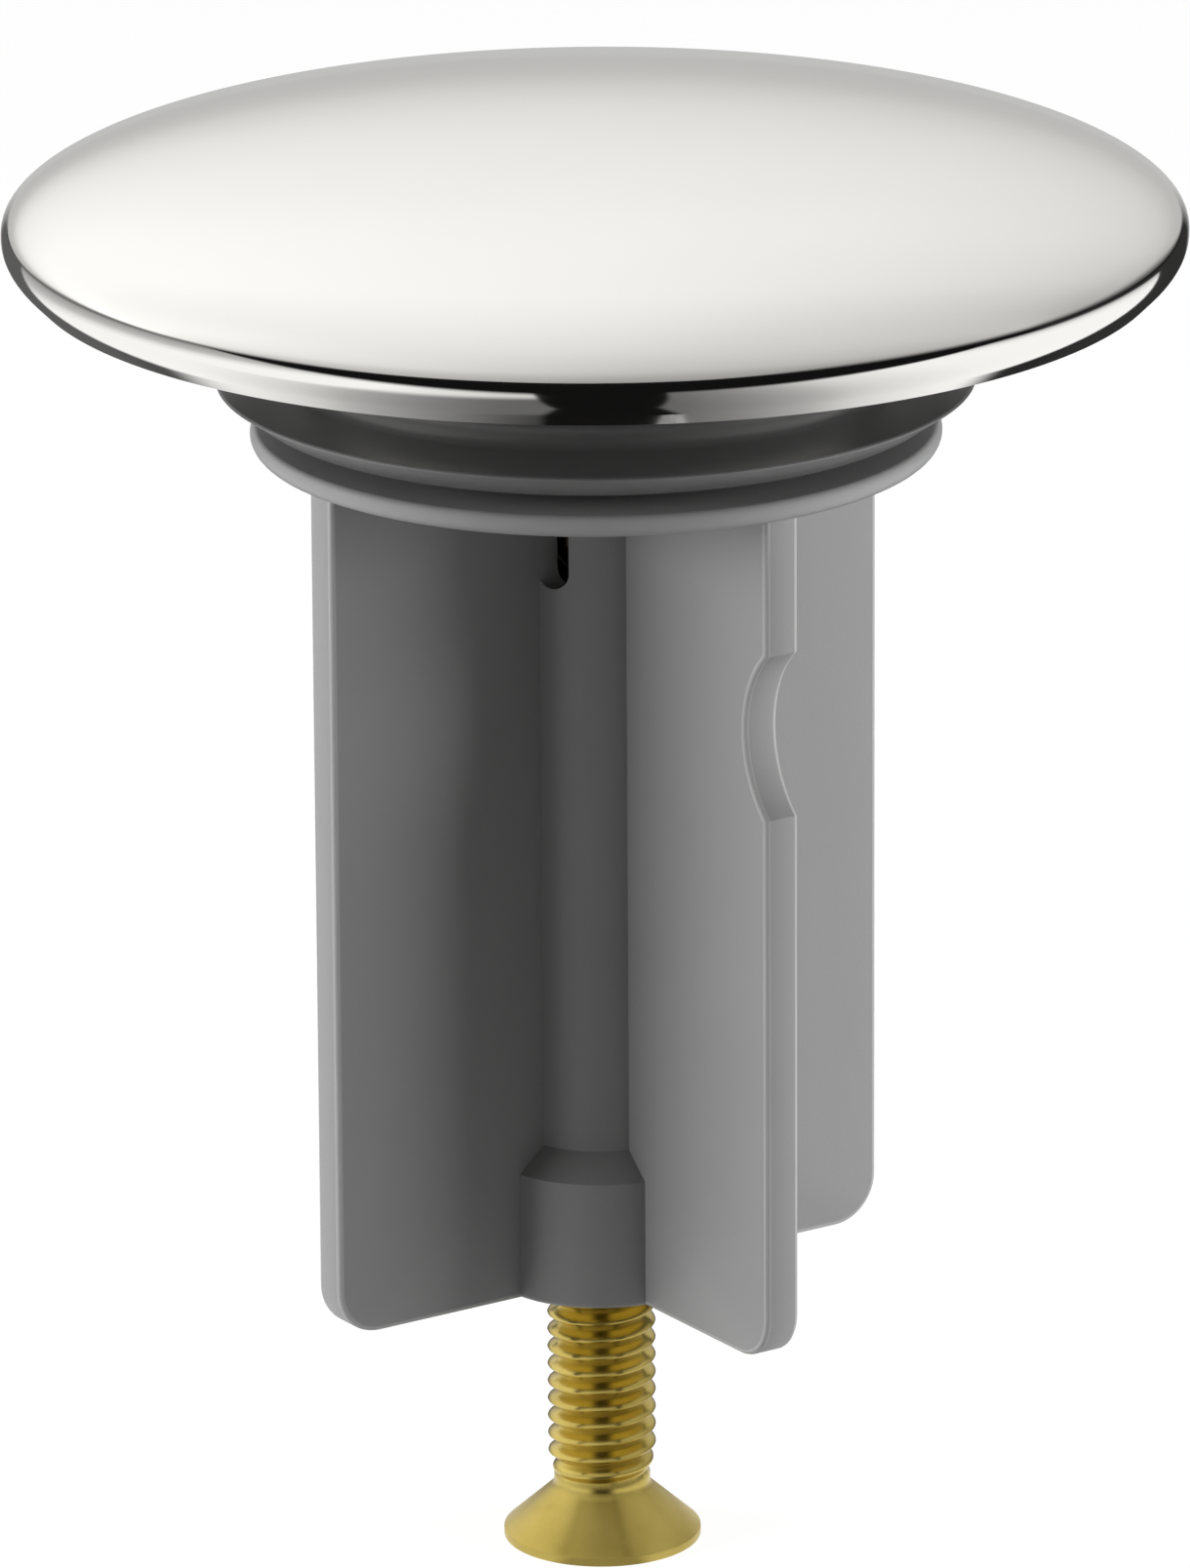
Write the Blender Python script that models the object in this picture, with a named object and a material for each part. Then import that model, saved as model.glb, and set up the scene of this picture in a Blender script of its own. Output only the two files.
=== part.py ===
"""Pop-up plug of a washbasin drain valve: a domed cap on a finned plastic guide, with an
adjusting screw under it. Metres, +Z up. The origin is the centre of the screw head's flat
end face, and Z is the axis of the plug. The sizes below are in millimetres.
"""

import math

import bmesh
import bpy
from mathutils import Matrix, Vector

MM = 0.001

# Cap
CAP_DIAMETER = 63.0
CAP_CROWN = 5.2  # the dome's rise above the widest line of the cap
CAP_DOME_POWER = 2.27  # 2 makes the dome an ellipse, more makes its shoulder fuller
CAP_SIDE_DROP = 2.4  # from the widest line down to the cap's foot
CAP_FOOT_SETBACK = 1.6  # how far the foot stands inside the widest line
CAP_FOOT_LAND = 1.2  # width of the flat ring on the foot
CAP_WALL = 1.5
CAP_STANDOFF = 10.7  # the widest line above the guide's flange
HUB_DIAMETER = 14.0
HUB_BORE_DEPTH = 7.3
RING_WALL = 2.4  # the ring under the cap that holds the seal down

# Stem between the cap and the guide
STEM_HEAD_DIAMETER = 6.0
STEM_DIAMETER = 4.4
STEM_HEAD_CHAMFER = 0.4
BARB_OVERHANG = 0.7  # how far the barb stands out of the stem
BARB_LENGTH = 2.8
BARB_TIP_DIAMETER = 2.8

# Guide
GUIDE_DIAMETER = 35.0  # over the outer faces of the fins
GUIDE_LENGTH = 48.2  # from the ends of the fins to the top of the flange
FLANGE_DIAMETER = 36.9
FLANGE_THICKNESS = 1.25
FLANGE_EDGE_ROUND = 1.1
FLANGE_EDGE_LAND = 0.1  # the least that the round leaves of the flange's edge
FIN_COUNT = 4
FIN_THICKNESS = 2.1
FIN_CORNER_ROUND = 2.6
FIN_EDGE_ROUND = 0.25
TUBE_DIAMETER = 9.0
TUBE_TOP_DEPTH = 9.3  # from the top of the boss down to the ledge that the barb snaps under
COLLAR_DIAMETER = 12.0
COLLAR_LENGTH = 7.1
COLLAR_TAPER = 1.4
BOSS_DIAMETER = 13.0
SPIGOT_WALL = 1.6
SPIGOT_HEIGHT = 4.0
SPIGOT_FLOOR = 1.2
SLOT_WIDTH = 1.75
SLOT_LENGTH = 7.0  # from the underside of the flange to the slot's round end
SLOT_RELIEF = 0.1  # how far the slot bites into the side of its fin
NOTCH_WIDTH = 9.0
NOTCH_DEPTH = 2.0
NOTCH_DROP = 13.2  # from the top of the flange to the middle of the notch

# Seal
SEAL_BORE = 27.0
SEAL_FOOT_DIAMETER = 30.6
SEAL_NECK_DIAMETER = 32.4
SEAL_LIP_DIAMETER = 40.5
SEAL_LIP_RISE = 2.3  # from the seal's foot up to the widest line of the lip
SEAL_LIP_EDGE = 0.35
SEAL_LIP_CURVE = 1.45  # 1 makes the underside a cone, more lets it lie flatter near the foot
SEAL_NECK_FILLET = 1.2
SEAL_RING_DROP = 1.1  # how far the holding ring reaches below the cap's foot

# Thread insert
INSERT_DIAMETER = 8.4
INSERT_LENGTH = 7.0
INSERT_GROOVE = 0.35
INSERT_GROOVE_WIDTH = 1.2
KNURL_DEPTH = 0.2

# Adjusting screw
SCREW_DIAMETER = 6.0
SCREW_PITCH = 1.0
SCREW_LENGTH = 30.0
SCREW_HEAD_DIAMETER = 11.0
SCREW_HEAD_EDGE = 0.5
SCREW_NECK_DIAMETER = 5.3
SCREW_NECK_LENGTH = 1.0
SCREW_END_CHAMFER = 0.7
SCREW_SETTING = 15.1  # from the head's face to the ends of the fins
THREAD_DEPTH = 0.61
CREST_SHARE = 0.125  # flat on the crest, as a share of the pitch
ROOT_SHARE = 0.25
RECESS_SPAN = 6.0
RECESS_WIDTH = 1.2
RECESS_DEPTH = 2.6
RECESS_TAPER = 0.42  # span at the bottom of the recess, as a share of the span at its mouth

# Clearances
SEAT_GAP = 0.3  # between faces that rest on each other
PRESS_GAP = 0.1  # all round a pressed piece
STEM_CLEARANCE = 0.2  # all round the turning stem
BORE_CLEARANCE = 0.3  # all round the screw above its insert
THREAD_CLEARANCE = 0.15
OVERCUT = 1.0  # how far a cutter runs past the face that it opens

# Facets
CAP_STEPS = 64
SEAL_STEPS = 56
GUIDE_STEPS = 48
PIN_STEPS = 32
THREAD_STEPS = 16
KNURL_TEETH = 24
ROUND_STEPS = 5
DOME_STEPS = 11
SMOOTH_ANGLE = math.radians(32)

# Levels along the axis, from the screw head's face upwards
FIN_END_Z = SCREW_SETTING
FLANGE_TOP_Z = FIN_END_Z + GUIDE_LENGTH
FLANGE_UNDER_Z = FLANGE_TOP_Z - FLANGE_THICKNESS
BOSS_TOP_Z = FLANGE_TOP_Z + SPIGOT_HEIGHT
CAP_RIM_Z = FLANGE_TOP_Z + CAP_STANDOFF
CAP_FOOT_Z = CAP_RIM_Z - CAP_SIDE_DROP
HUB_FOOT_Z = BOSS_TOP_Z + SEAT_GAP
LEDGE_Z = BOSS_TOP_Z - TUBE_TOP_DEPTH
SEAL_FOOT_Z = FLANGE_TOP_Z + SEAT_GAP
SEAL_LIP_Z = SEAL_FOOT_Z + SEAL_LIP_RISE
RING_FOOT_Z = CAP_FOOT_Z - SEAL_RING_DROP
SEAL_TOP_Z = RING_FOOT_Z - SEAT_GAP
COLLAR_TOP_Z = FIN_END_Z + COLLAR_LENGTH
INSERT_FOOT_Z = FIN_END_Z + SEAT_GAP
INSERT_TOP_Z = INSERT_FOOT_Z + INSERT_LENGTH

# Radii that one piece takes from another
STEM_BORE_RADIUS = STEM_DIAMETER / 2 + STEM_CLEARANCE
SCREW_BORE_RADIUS = SCREW_DIAMETER / 2 + BORE_CLEARANCE
SPIGOT_RADIUS = SEAL_BORE / 2 - SEAT_GAP
INSERT_POCKET_RADIUS = INSERT_DIAMETER / 2 + PRESS_GAP


def clear_scene():
    for obj in list(bpy.data.objects):
        bpy.data.objects.remove(obj, do_unlink=True)


def make_material(name, colour, metallic, roughness):
    material = bpy.data.materials.new(name)
    material.use_nodes = True
    shader = material.node_tree.nodes["Principled BSDF"]
    shader.inputs["Base Color"].default_value = (*colour, 1.0)
    shader.inputs["Metallic"].default_value = metallic
    shader.inputs["Roughness"].default_value = roughness
    return material


def add_object(name, bm, material=None):
    """Turns a bmesh in millimetres into an object in metres, with its faces pointing out."""
    bmesh.ops.remove_doubles(bm, verts=bm.verts, dist=1e-5)
    bmesh.ops.recalc_face_normals(bm, faces=bm.faces)
    bmesh.ops.scale(bm, vec=(MM, MM, MM), verts=bm.verts)
    mesh = bpy.data.meshes.new(name)
    bm.to_mesh(mesh)
    bm.free()
    mesh.shade_smooth()
    mesh.set_sharp_from_angle(angle=SMOOTH_ANGLE)
    obj = bpy.data.objects.new(name, mesh)
    bpy.context.scene.collection.objects.link(obj)
    if material:
        mesh.materials.append(material)
    return obj


def make_helper(obj):
    """Marks an object as a blank or cutter that only shapes another piece."""
    obj.hide_render = True
    obj.display_type = "WIRE"
    return obj


def combine(obj, other, operation):
    modifier = obj.modifiers.new(f"{operation.lower()}_{other.name}", "BOOLEAN")
    modifier.operation = operation
    modifier.object = other
    modifier.solver = "EXACT"


def spin_profile(bm, points, steps, closed):
    """Turns (radius, height) points round Z. A closed profile makes a ring."""
    verts = [bm.verts.new((radius, 0, height)) for radius, height in points]
    edges = [bm.edges.new(pair) for pair in zip(verts, verts[1:])]
    if closed:
        edges.append(bm.edges.new((verts[-1], verts[0])))
    bmesh.ops.spin(
        bm,
        geom=verts + edges,
        cent=(0, 0, 0),
        axis=(0, 0, 1),
        angle=math.tau,
        steps=steps,
        use_merge=True,
    )


def arc(centre, radius, start, end, steps=ROUND_STEPS):
    """Points on an upright arc, as (across, height) pairs, with its angles in degrees."""
    points = []
    for step in range(steps + 1):
        angle = math.radians(start + (end - start) * step / steps)
        points.append((centre[0] + radius * math.cos(angle), centre[1] + radius * math.sin(angle)))
    return points


def dome_height(radius, reach, crown):
    """Height of the dome above its widest line, at a distance from the axis."""
    share = min(radius / reach, 1.0)
    return crown * (1 - share**2) ** (1 / CAP_DOME_POWER)


def build_cover_cap(material):
    reach = CAP_DIAMETER / 2
    foot = reach - CAP_FOOT_SETBACK
    inner_reach = foot - CAP_FOOT_LAND
    ring_outer = SEAL_NECK_DIAMETER / 2
    ring_inner = ring_outer - RING_WALL
    hub = HUB_DIAMETER / 2
    bore = STEM_HEAD_DIAMETER / 2 + PRESS_GAP
    bore_top = HUB_FOOT_Z + HUB_BORE_DEPTH

    def outside(radius):
        return CAP_RIM_Z + dome_height(radius, reach, CAP_CROWN)

    def inside(radius):
        return CAP_RIM_Z + dome_height(radius, inner_reach, CAP_CROWN - CAP_WALL)

    points = []
    for step in range(DOME_STEPS + 1):
        radius = reach * math.sin(math.radians(90 * step / DOME_STEPS))
        points.append((radius, outside(radius)))
    for step in range(1, ROUND_STEPS + 1):
        angle = math.radians(90 * step / ROUND_STEPS)
        setback = CAP_FOOT_SETBACK * math.sin(angle) ** 2
        points.append((reach - setback, CAP_RIM_Z - CAP_SIDE_DROP * math.sin(angle)))
    points.append((inner_reach, CAP_FOOT_Z))
    for step in range(ROUND_STEPS):
        share = (step / (ROUND_STEPS - 1)) ** 2
        radius = inner_reach * (1 - share) + ring_outer * share
        points.append((radius, inside(radius)))
    points.append((ring_outer, RING_FOOT_Z))
    points.append((ring_inner, RING_FOOT_Z))
    points.append((ring_inner, inside(ring_inner)))
    points.append((hub, inside(hub)))
    points.append((hub, HUB_FOOT_Z))
    points.append((bore, HUB_FOOT_Z))
    points.append((bore, bore_top))
    points.append((0, bore_top))
    bm = bmesh.new()
    spin_profile(bm, points, CAP_STEPS, closed=False)
    return add_object("cover_cap", bm, material)


def build_cap_stem(material):
    head = STEM_HEAD_DIAMETER / 2
    stem = STEM_DIAMETER / 2
    barb = stem + BARB_OVERHANG
    top = HUB_FOOT_Z + HUB_BORE_DEPTH - SEAT_GAP
    barb_top = LEDGE_Z - SEAT_GAP
    points = [
        (0, top),
        (head - STEM_HEAD_CHAMFER, top),
        (head, top - STEM_HEAD_CHAMFER),
        (head, HUB_FOOT_Z),
        (stem, HUB_FOOT_Z),
        (stem, barb_top),
        (barb, barb_top),
        (barb, barb_top - BARB_OVERHANG),
        (BARB_TIP_DIAMETER / 2, barb_top - BARB_LENGTH),
        (0, barb_top - BARB_LENGTH),
    ]
    bm = bmesh.new()
    spin_profile(bm, points, PIN_STEPS, closed=False)
    return add_object("cap_stem", bm, material)


def build_profile_seal(material):
    bore = SEAL_BORE / 2
    foot = SEAL_FOOT_DIAMETER / 2
    neck = SEAL_NECK_DIAMETER / 2
    lip = SEAL_LIP_DIAMETER / 2
    lip_top = SEAL_LIP_Z + SEAL_LIP_EDGE
    fillet_centre = (neck + SEAL_NECK_FILLET, lip_top + SEAL_NECK_FILLET)
    points = [(bore, SEAL_FOOT_Z)]
    for step in range(ROUND_STEPS):
        share = step / (ROUND_STEPS - 1)
        height = SEAL_FOOT_Z + SEAL_LIP_RISE * share**SEAL_LIP_CURVE
        points.append((foot + (lip - foot) * share, height))
    points.append((lip - SEAL_LIP_EDGE / 2, lip_top))
    points += arc(fillet_centre, SEAL_NECK_FILLET, 270, 180)
    points.append((neck, SEAL_TOP_Z))
    points.append((bore, SEAL_TOP_Z))
    bm = bmesh.new()
    spin_profile(bm, points, SEAL_STEPS, closed=True)
    return add_object("profile_seal", bm, material)


def guide_profile():
    """Half section of the guide without its fins: spigot, flange, tube and collar."""
    flange = FLANGE_DIAMETER / 2
    edge_round = min(FLANGE_EDGE_ROUND, FLANGE_THICKNESS - FLANGE_EDGE_LAND)
    tube = TUBE_DIAMETER / 2
    collar = COLLAR_DIAMETER / 2
    boss = BOSS_DIAMETER / 2
    moat = SPIGOT_RADIUS - SPIGOT_WALL
    floor_z = FLANGE_TOP_Z + SPIGOT_FLOOR
    points = [
        (STEM_BORE_RADIUS, BOSS_TOP_Z),
        (boss, BOSS_TOP_Z),
        (boss, floor_z),
        (moat, floor_z),
        (moat, BOSS_TOP_Z),
        (SPIGOT_RADIUS, BOSS_TOP_Z),
        (SPIGOT_RADIUS, FLANGE_TOP_Z),
        (flange, FLANGE_TOP_Z),
    ]
    points += arc((flange - edge_round, FLANGE_UNDER_Z + edge_round), edge_round, 0, -90)
    points += [
        (tube, FLANGE_UNDER_Z),
        (tube, COLLAR_TOP_Z + COLLAR_TAPER),
        (collar, COLLAR_TOP_Z),
        (collar, FIN_END_Z),
        (SCREW_BORE_RADIUS, FIN_END_Z),
        (SCREW_BORE_RADIUS, LEDGE_Z),
        (STEM_BORE_RADIUS, LEDGE_Z),
    ]
    return points


def fin_outline(notched):
    """Outline of one fin in the (radius, height) plane, from its root in the tube's wall."""
    root = (SCREW_BORE_RADIUS + TUBE_DIAMETER / 2) / 2
    reach = GUIDE_DIAMETER / 2
    top = FLANGE_UNDER_Z + FLANGE_THICKNESS / 2
    corner = (reach - FIN_CORNER_ROUND, FIN_END_Z + FIN_CORNER_ROUND)
    points = [(root, top), (root, FIN_END_Z)]
    points += arc(corner, FIN_CORNER_ROUND, -90, 0)
    if notched:
        half = NOTCH_WIDTH / 2
        radius = (half**2 + NOTCH_DEPTH**2) / (2 * NOTCH_DEPTH)
        opening = math.degrees(math.asin(half / radius))
        centre = (reach - NOTCH_DEPTH + radius, FLANGE_TOP_Z - NOTCH_DROP)
        points += arc(centre, radius, 180 + opening, 180 - opening, 2 * ROUND_STEPS)
    points.append((reach, top))
    return points


def add_fin(bm, angle, notched):
    """Adds one fin, with its free edges rounded over, turned to its place round the axis."""
    half = FIN_THICKNESS / 2
    fin = bmesh.new()
    outline = fin_outline(notched)
    face = fin.faces.new([fin.verts.new((radius, -half, height)) for radius, height in outline])
    side = bmesh.ops.extrude_face_region(fin, geom=[face])["geom"]
    moved = [item for item in side if isinstance(item, bmesh.types.BMVert)]
    bmesh.ops.translate(fin, verts=moved, vec=(0, FIN_THICKNESS, 0))
    bmesh.ops.recalc_face_normals(fin, faces=fin.faces)

    def free(edge):
        middle = (edge.verts[0].co + edge.verts[1].co) / 2
        along = abs(edge.verts[0].co.y - edge.verts[1].co.y) < half
        return along and middle.x > TUBE_DIAMETER / 2 and middle.z < FLANGE_UNDER_Z

    bmesh.ops.bevel(
        fin,
        geom=[edge for edge in fin.edges if free(edge)],
        offset=FIN_EDGE_ROUND,
        offset_type="OFFSET",
        segments=1,
        profile=0.5,
        affect="EDGES",
        material=-1,
        clamp_overlap=True,
    )
    bmesh.ops.rotate(fin, cent=(0, 0, 0), matrix=Matrix.Rotation(angle, 3, "Z"), verts=fin.verts)
    mesh = bpy.data.meshes.new("fin")
    fin.to_mesh(mesh)
    fin.free()
    bm.from_mesh(mesh)
    bpy.data.meshes.remove(mesh)


def build_fins():
    """All fins as one blank. The fin towards -Y has the notch."""
    bm = bmesh.new()
    for index in range(FIN_COUNT):
        angle = math.radians(-90) + index * math.tau / FIN_COUNT
        add_fin(bm, angle, notched=index == 0)
    return make_helper(add_object("fin_blank", bm))


def build_slots():
    """Cutter for the round-ended slots in the tube, one beside each fin under the flange."""
    bm = bmesh.new()
    radius = SLOT_WIDTH / 2
    reach = TUBE_DIAMETER / 2 + SLOT_RELIEF
    low = FLANGE_UNDER_Z - SLOT_LENGTH + radius
    near = FIN_THICKNESS / 2 - SLOT_RELIEF
    outline = arc((near + radius, low), radius, 0, -180, 2 * ROUND_STEPS)
    outline += [(near, FLANGE_UNDER_Z), (near + SLOT_WIDTH, FLANGE_UNDER_Z)]
    for index in range(FIN_COUNT):
        angle = math.radians(-90) + index * math.tau / FIN_COUNT
        verts = [bm.verts.new((0, across, height)) for across, height in outline]
        face = bm.faces.new(verts)
        geom = bmesh.ops.extrude_face_region(bm, geom=[face])["geom"]
        moved = [item for item in geom if isinstance(item, bmesh.types.BMVert)]
        bmesh.ops.translate(bm, verts=moved, vec=(reach, 0, 0))
        turn = Matrix.Rotation(angle, 3, "Z")
        bmesh.ops.rotate(bm, cent=(0, 0, 0), matrix=turn, verts=verts + moved)
    return make_helper(add_object("slot_cutter", bm))


def build_insert_pocket():
    """Cutter for the pocket in the collar that holds the thread insert."""
    low = FIN_END_Z - OVERCUT
    high = INSERT_TOP_Z + SEAT_GAP
    bm = bmesh.new()
    points = [(0, low), (INSERT_POCKET_RADIUS, low), (INSERT_POCKET_RADIUS, high), (0, high)]
    spin_profile(bm, points, GUIDE_STEPS, closed=False)
    return make_helper(add_object("pocket_cutter", bm))


def build_guide_body(material):
    bm = bmesh.new()
    spin_profile(bm, guide_profile(), GUIDE_STEPS, closed=True)
    guide = add_object("guide_body", bm, material)
    combine(guide, build_fins(), "UNION")
    combine(guide, build_slots(), "DIFFERENCE")
    combine(guide, build_insert_pocket(), "DIFFERENCE")
    return guide


def add_thread(bm, crest, low, high, runout, chamfer):
    """Adds a helical thread between two heights, fading out below and chamfered above."""
    root = crest - THREAD_DEPTH
    pitch = SCREW_PITCH
    first = math.floor(low / pitch) - 1
    turns = math.ceil(high / pitch) + 1 - first
    half_root = ROOT_SHARE * pitch / 2
    half_crest = CREST_SHARE * pitch / 2
    start = first * pitch
    profile = [
        (root, start - half_root),
        (root, start + half_root),
        (crest, start + pitch / 2 - half_crest),
        (crest, start + pitch / 2 + half_crest),
        (root, start + pitch - half_root),
    ]
    verts = [bm.verts.new((radius, 0, height)) for radius, height in profile]
    edges = [bm.edges.new(pair) for pair in zip(verts, verts[1:])]
    bmesh.ops.spin(
        bm,
        geom=verts + edges,
        cent=(0, 0, 0),
        axis=(0, 0, 1),
        dvec=(0, 0, pitch / THREAD_STEPS),
        angle=math.tau * turns,
        steps=THREAD_STEPS * turns,
    )
    bmesh.ops.remove_doubles(bm, verts=bm.verts, dist=1e-4)
    for vert in bm.verts:
        radius = vert.co.xy.length
        height = min(max(vert.co.z, low), high)
        faded = root + THREAD_DEPTH * min((height - low) / runout, 1.0)
        chamfered = crest - max(height - (high - chamfer), 0)
        shrink = min(radius, faded, chamfered) / radius
        vert.co = (vert.co.x * shrink, vert.co.y * shrink, height)
    bmesh.ops.remove_doubles(bm, verts=bm.verts, dist=1e-4)
    bmesh.ops.dissolve_degenerate(bm, edges=bm.edges, dist=1e-4)
    rims = [edge for edge in bm.edges if edge.is_boundary]
    bmesh.ops.holes_fill(bm, edges=rims, sides=0)


def build_screw_shank():
    """The threaded shank, which starts inside the head's neck."""
    neck_top = SCREW_HEAD_EDGE + (SCREW_HEAD_DIAMETER - SCREW_NECK_DIAMETER) / 2 + SCREW_NECK_LENGTH
    bm = bmesh.new()
    add_thread(
        bm,
        SCREW_DIAMETER / 2,
        neck_top - SCREW_NECK_LENGTH,
        SCREW_LENGTH,
        SCREW_NECK_LENGTH + SCREW_PITCH,
        SCREW_END_CHAMFER,
    )
    return make_helper(add_object("screw_shank", bm))


def build_cross_recess():
    """Cutter for the cross recess in the head's face."""
    flare = (1 - RECESS_TAPER) / RECESS_DEPTH
    bm = bmesh.new()
    rings = []
    for height in (-OVERCUT, RECESS_DEPTH):
        share = 1 - flare * height
        arm = RECESS_SPAN / 2 * share
        half = RECESS_WIDTH / 2 * (1 + share) / 2
        ring = []
        for quarter in range(4):
            turn = Matrix.Rotation(quarter * math.pi / 2, 3, "Z")
            for x, y in ((arm, -half), (arm, half), (half, half)):
                ring.append(bm.verts.new(turn @ Vector((x, y, height))))
        rings.append(ring)
    bm.faces.new(rings[0])
    bm.faces.new(rings[1])
    low, high = rings
    for index in range(len(low)):
        after = (index + 1) % len(low)
        bm.faces.new((low[index], low[after], high[after], high[index]))
    return make_helper(add_object("recess_cutter", bm))


def build_adjusting_screw(material):
    head = SCREW_HEAD_DIAMETER / 2
    neck = SCREW_NECK_DIAMETER / 2
    cone_top = SCREW_HEAD_EDGE + head - neck
    points = [
        (0, 0),
        (head, 0),
        (head, SCREW_HEAD_EDGE),
        (neck, cone_top),
        (neck, cone_top + SCREW_NECK_LENGTH),
        (0, cone_top + SCREW_NECK_LENGTH),
    ]
    bm = bmesh.new()
    spin_profile(bm, points, GUIDE_STEPS, closed=False)
    screw = add_object("adjusting_screw", bm, material)
    combine(screw, build_screw_shank(), "UNION")
    combine(screw, build_cross_recess(), "DIFFERENCE")
    return screw


def build_thread_cutter():
    """Cutter for the insert's inner thread, in step with the screw's own thread."""
    bm = bmesh.new()
    crest = SCREW_DIAMETER / 2 + THREAD_CLEARANCE
    low = INSERT_FOOT_Z - 2 * SCREW_PITCH
    high = INSERT_TOP_Z + 2 * SCREW_PITCH
    add_thread(bm, crest, low, high, SCREW_PITCH, THREAD_DEPTH)
    return make_helper(add_object("thread_cutter", bm))


def build_thread_insert(material):
    """Knurled brass bush, pressed into the collar."""
    outer = INSERT_DIAMETER / 2
    valley = outer - KNURL_DEPTH
    groove = outer - INSERT_GROOVE
    inner = SCREW_DIAMETER / 2 - THREAD_DEPTH - THREAD_CLEARANCE
    middle = (INSERT_FOOT_Z + INSERT_TOP_Z) / 2
    groove_low = middle - INSERT_GROOVE_WIDTH / 2
    groove_high = middle + INSERT_GROOVE_WIDTH / 2
    points = [
        (inner, INSERT_FOOT_Z),
        (outer, INSERT_FOOT_Z),
        (outer, groove_low),
        (groove, groove_low),
        (groove, groove_high),
        (outer, groove_high),
        (outer, INSERT_TOP_Z),
        (inner, INSERT_TOP_Z),
    ]
    bm = bmesh.new()
    steps = 2 * KNURL_TEETH
    spin_profile(bm, points, steps, closed=True)
    for vert in bm.verts:
        radius = vert.co.xy.length
        step = round(math.atan2(vert.co.y, vert.co.x) / math.tau * steps)
        if radius > valley and step % 2:
            vert.co.xy *= valley / radius
    insert = add_object("thread_insert", bm, material)
    combine(insert, build_thread_cutter(), "DIFFERENCE")
    return insert


def main():
    clear_scene()
    nickel = make_material("polished_nickel", (0.80, 0.79, 0.76), 1.0, 0.08)
    brass = make_material("turned_brass", (0.72, 0.58, 0.24), 1.0, 0.25)
    rubber = make_material("black_rubber", (0.035, 0.036, 0.037), 0.0, 0.45)
    plastic = make_material("grey_plastic", (0.27, 0.275, 0.275), 0.0, 0.42)
    build_cover_cap(nickel)
    build_cap_stem(brass)
    build_profile_seal(rubber)
    build_guide_body(plastic)
    build_thread_insert(brass)
    build_adjusting_screw(brass)


main()
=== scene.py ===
# %% [markdown]
# A pop-up plug for a washbasin drain. A polished, domed cap sits on a grey plastic guide with four
# crosswise fins. A black rubber seal lies between them, and a brass screw in the foot sets the
# height at which the plug stands. This file dresses the packed model: it gives each visible piece a
# smooth mesh and a finish, and puts it in a plain, pale studio.

import math

import bmesh
import bpy
from mathutils import Matrix, Vector


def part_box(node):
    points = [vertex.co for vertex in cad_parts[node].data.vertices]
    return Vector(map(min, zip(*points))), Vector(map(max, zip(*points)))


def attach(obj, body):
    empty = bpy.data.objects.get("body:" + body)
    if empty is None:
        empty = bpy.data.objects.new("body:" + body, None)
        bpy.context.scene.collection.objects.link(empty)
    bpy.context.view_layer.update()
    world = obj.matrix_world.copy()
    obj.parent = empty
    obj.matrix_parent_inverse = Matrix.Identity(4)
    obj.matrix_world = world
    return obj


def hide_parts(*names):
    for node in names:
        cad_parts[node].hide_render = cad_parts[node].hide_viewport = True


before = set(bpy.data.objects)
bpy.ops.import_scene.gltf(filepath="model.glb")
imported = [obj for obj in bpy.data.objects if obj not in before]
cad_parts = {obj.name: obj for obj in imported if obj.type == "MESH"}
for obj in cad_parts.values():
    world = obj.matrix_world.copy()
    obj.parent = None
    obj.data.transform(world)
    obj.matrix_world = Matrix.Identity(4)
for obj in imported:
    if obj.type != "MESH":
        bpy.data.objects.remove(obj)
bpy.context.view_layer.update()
for node in sorted(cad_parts):
    low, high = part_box(node)
    print(node, [round(value * 1000, 2) for value in (*low, *high)])

# %% [markdown]
# Blender works in metres here, but the plug is small, so its sizes are easier to read in
# millimetres. Every mesh is built in millimetres and scaled once, when it becomes an object.
# What the packed model already knows is read from its boxes, so that this file still fits if the
# model is packed again. Each piece adds the sizes of its own that it needs.

# %% Sizes in millimetres
MM = 0.001


def box_mm(node):
    """Lowest and highest corner of a node of the packed model, in millimetres."""
    low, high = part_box(node)
    return low / MM, high / MM


cap_low, cap_high = box_mm("cover_cap")
seal_low, seal_high = box_mm("profile_seal")
guide_low, guide_high = box_mm("guide_body")
screw_high = box_mm("adjusting_screw")[1]
print("cap radius", round(cap_high.x, 2), "and top", round(cap_high.z, 2), "mm")

# %% [markdown]
# The camera comes first, because the studio is set out round it. It stands to the left front, a
# little above the plug, with a long lens, so that the fins look nearly parallel. The aim sits on the
# plug's axis. A roll of a third of a degree leans the axis as much as it leans in the picture.

# %% Camera
CAMERA_AZIMUTH = math.radians(-33.6)
CAMERA_ELEVATION = math.radians(17.552)
CAMERA_ROLL = math.radians(-0.341)
CAMERA_DISTANCE = 703.6 * MM
CAMERA_LENS = 300.5
AIM_HEIGHT = 42.96 * MM
AIM_TO_LEFT = 0.1714 * MM

level = math.cos(CAMERA_ELEVATION)
towards_camera = Vector((math.sin(CAMERA_AZIMUTH), -math.cos(CAMERA_AZIMUTH), 0))
camera_right = Vector((math.cos(CAMERA_AZIMUTH), math.sin(CAMERA_AZIMUTH), 0))
camera_back = towards_camera * level + Vector((0, 0, math.sin(CAMERA_ELEVATION)))

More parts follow.
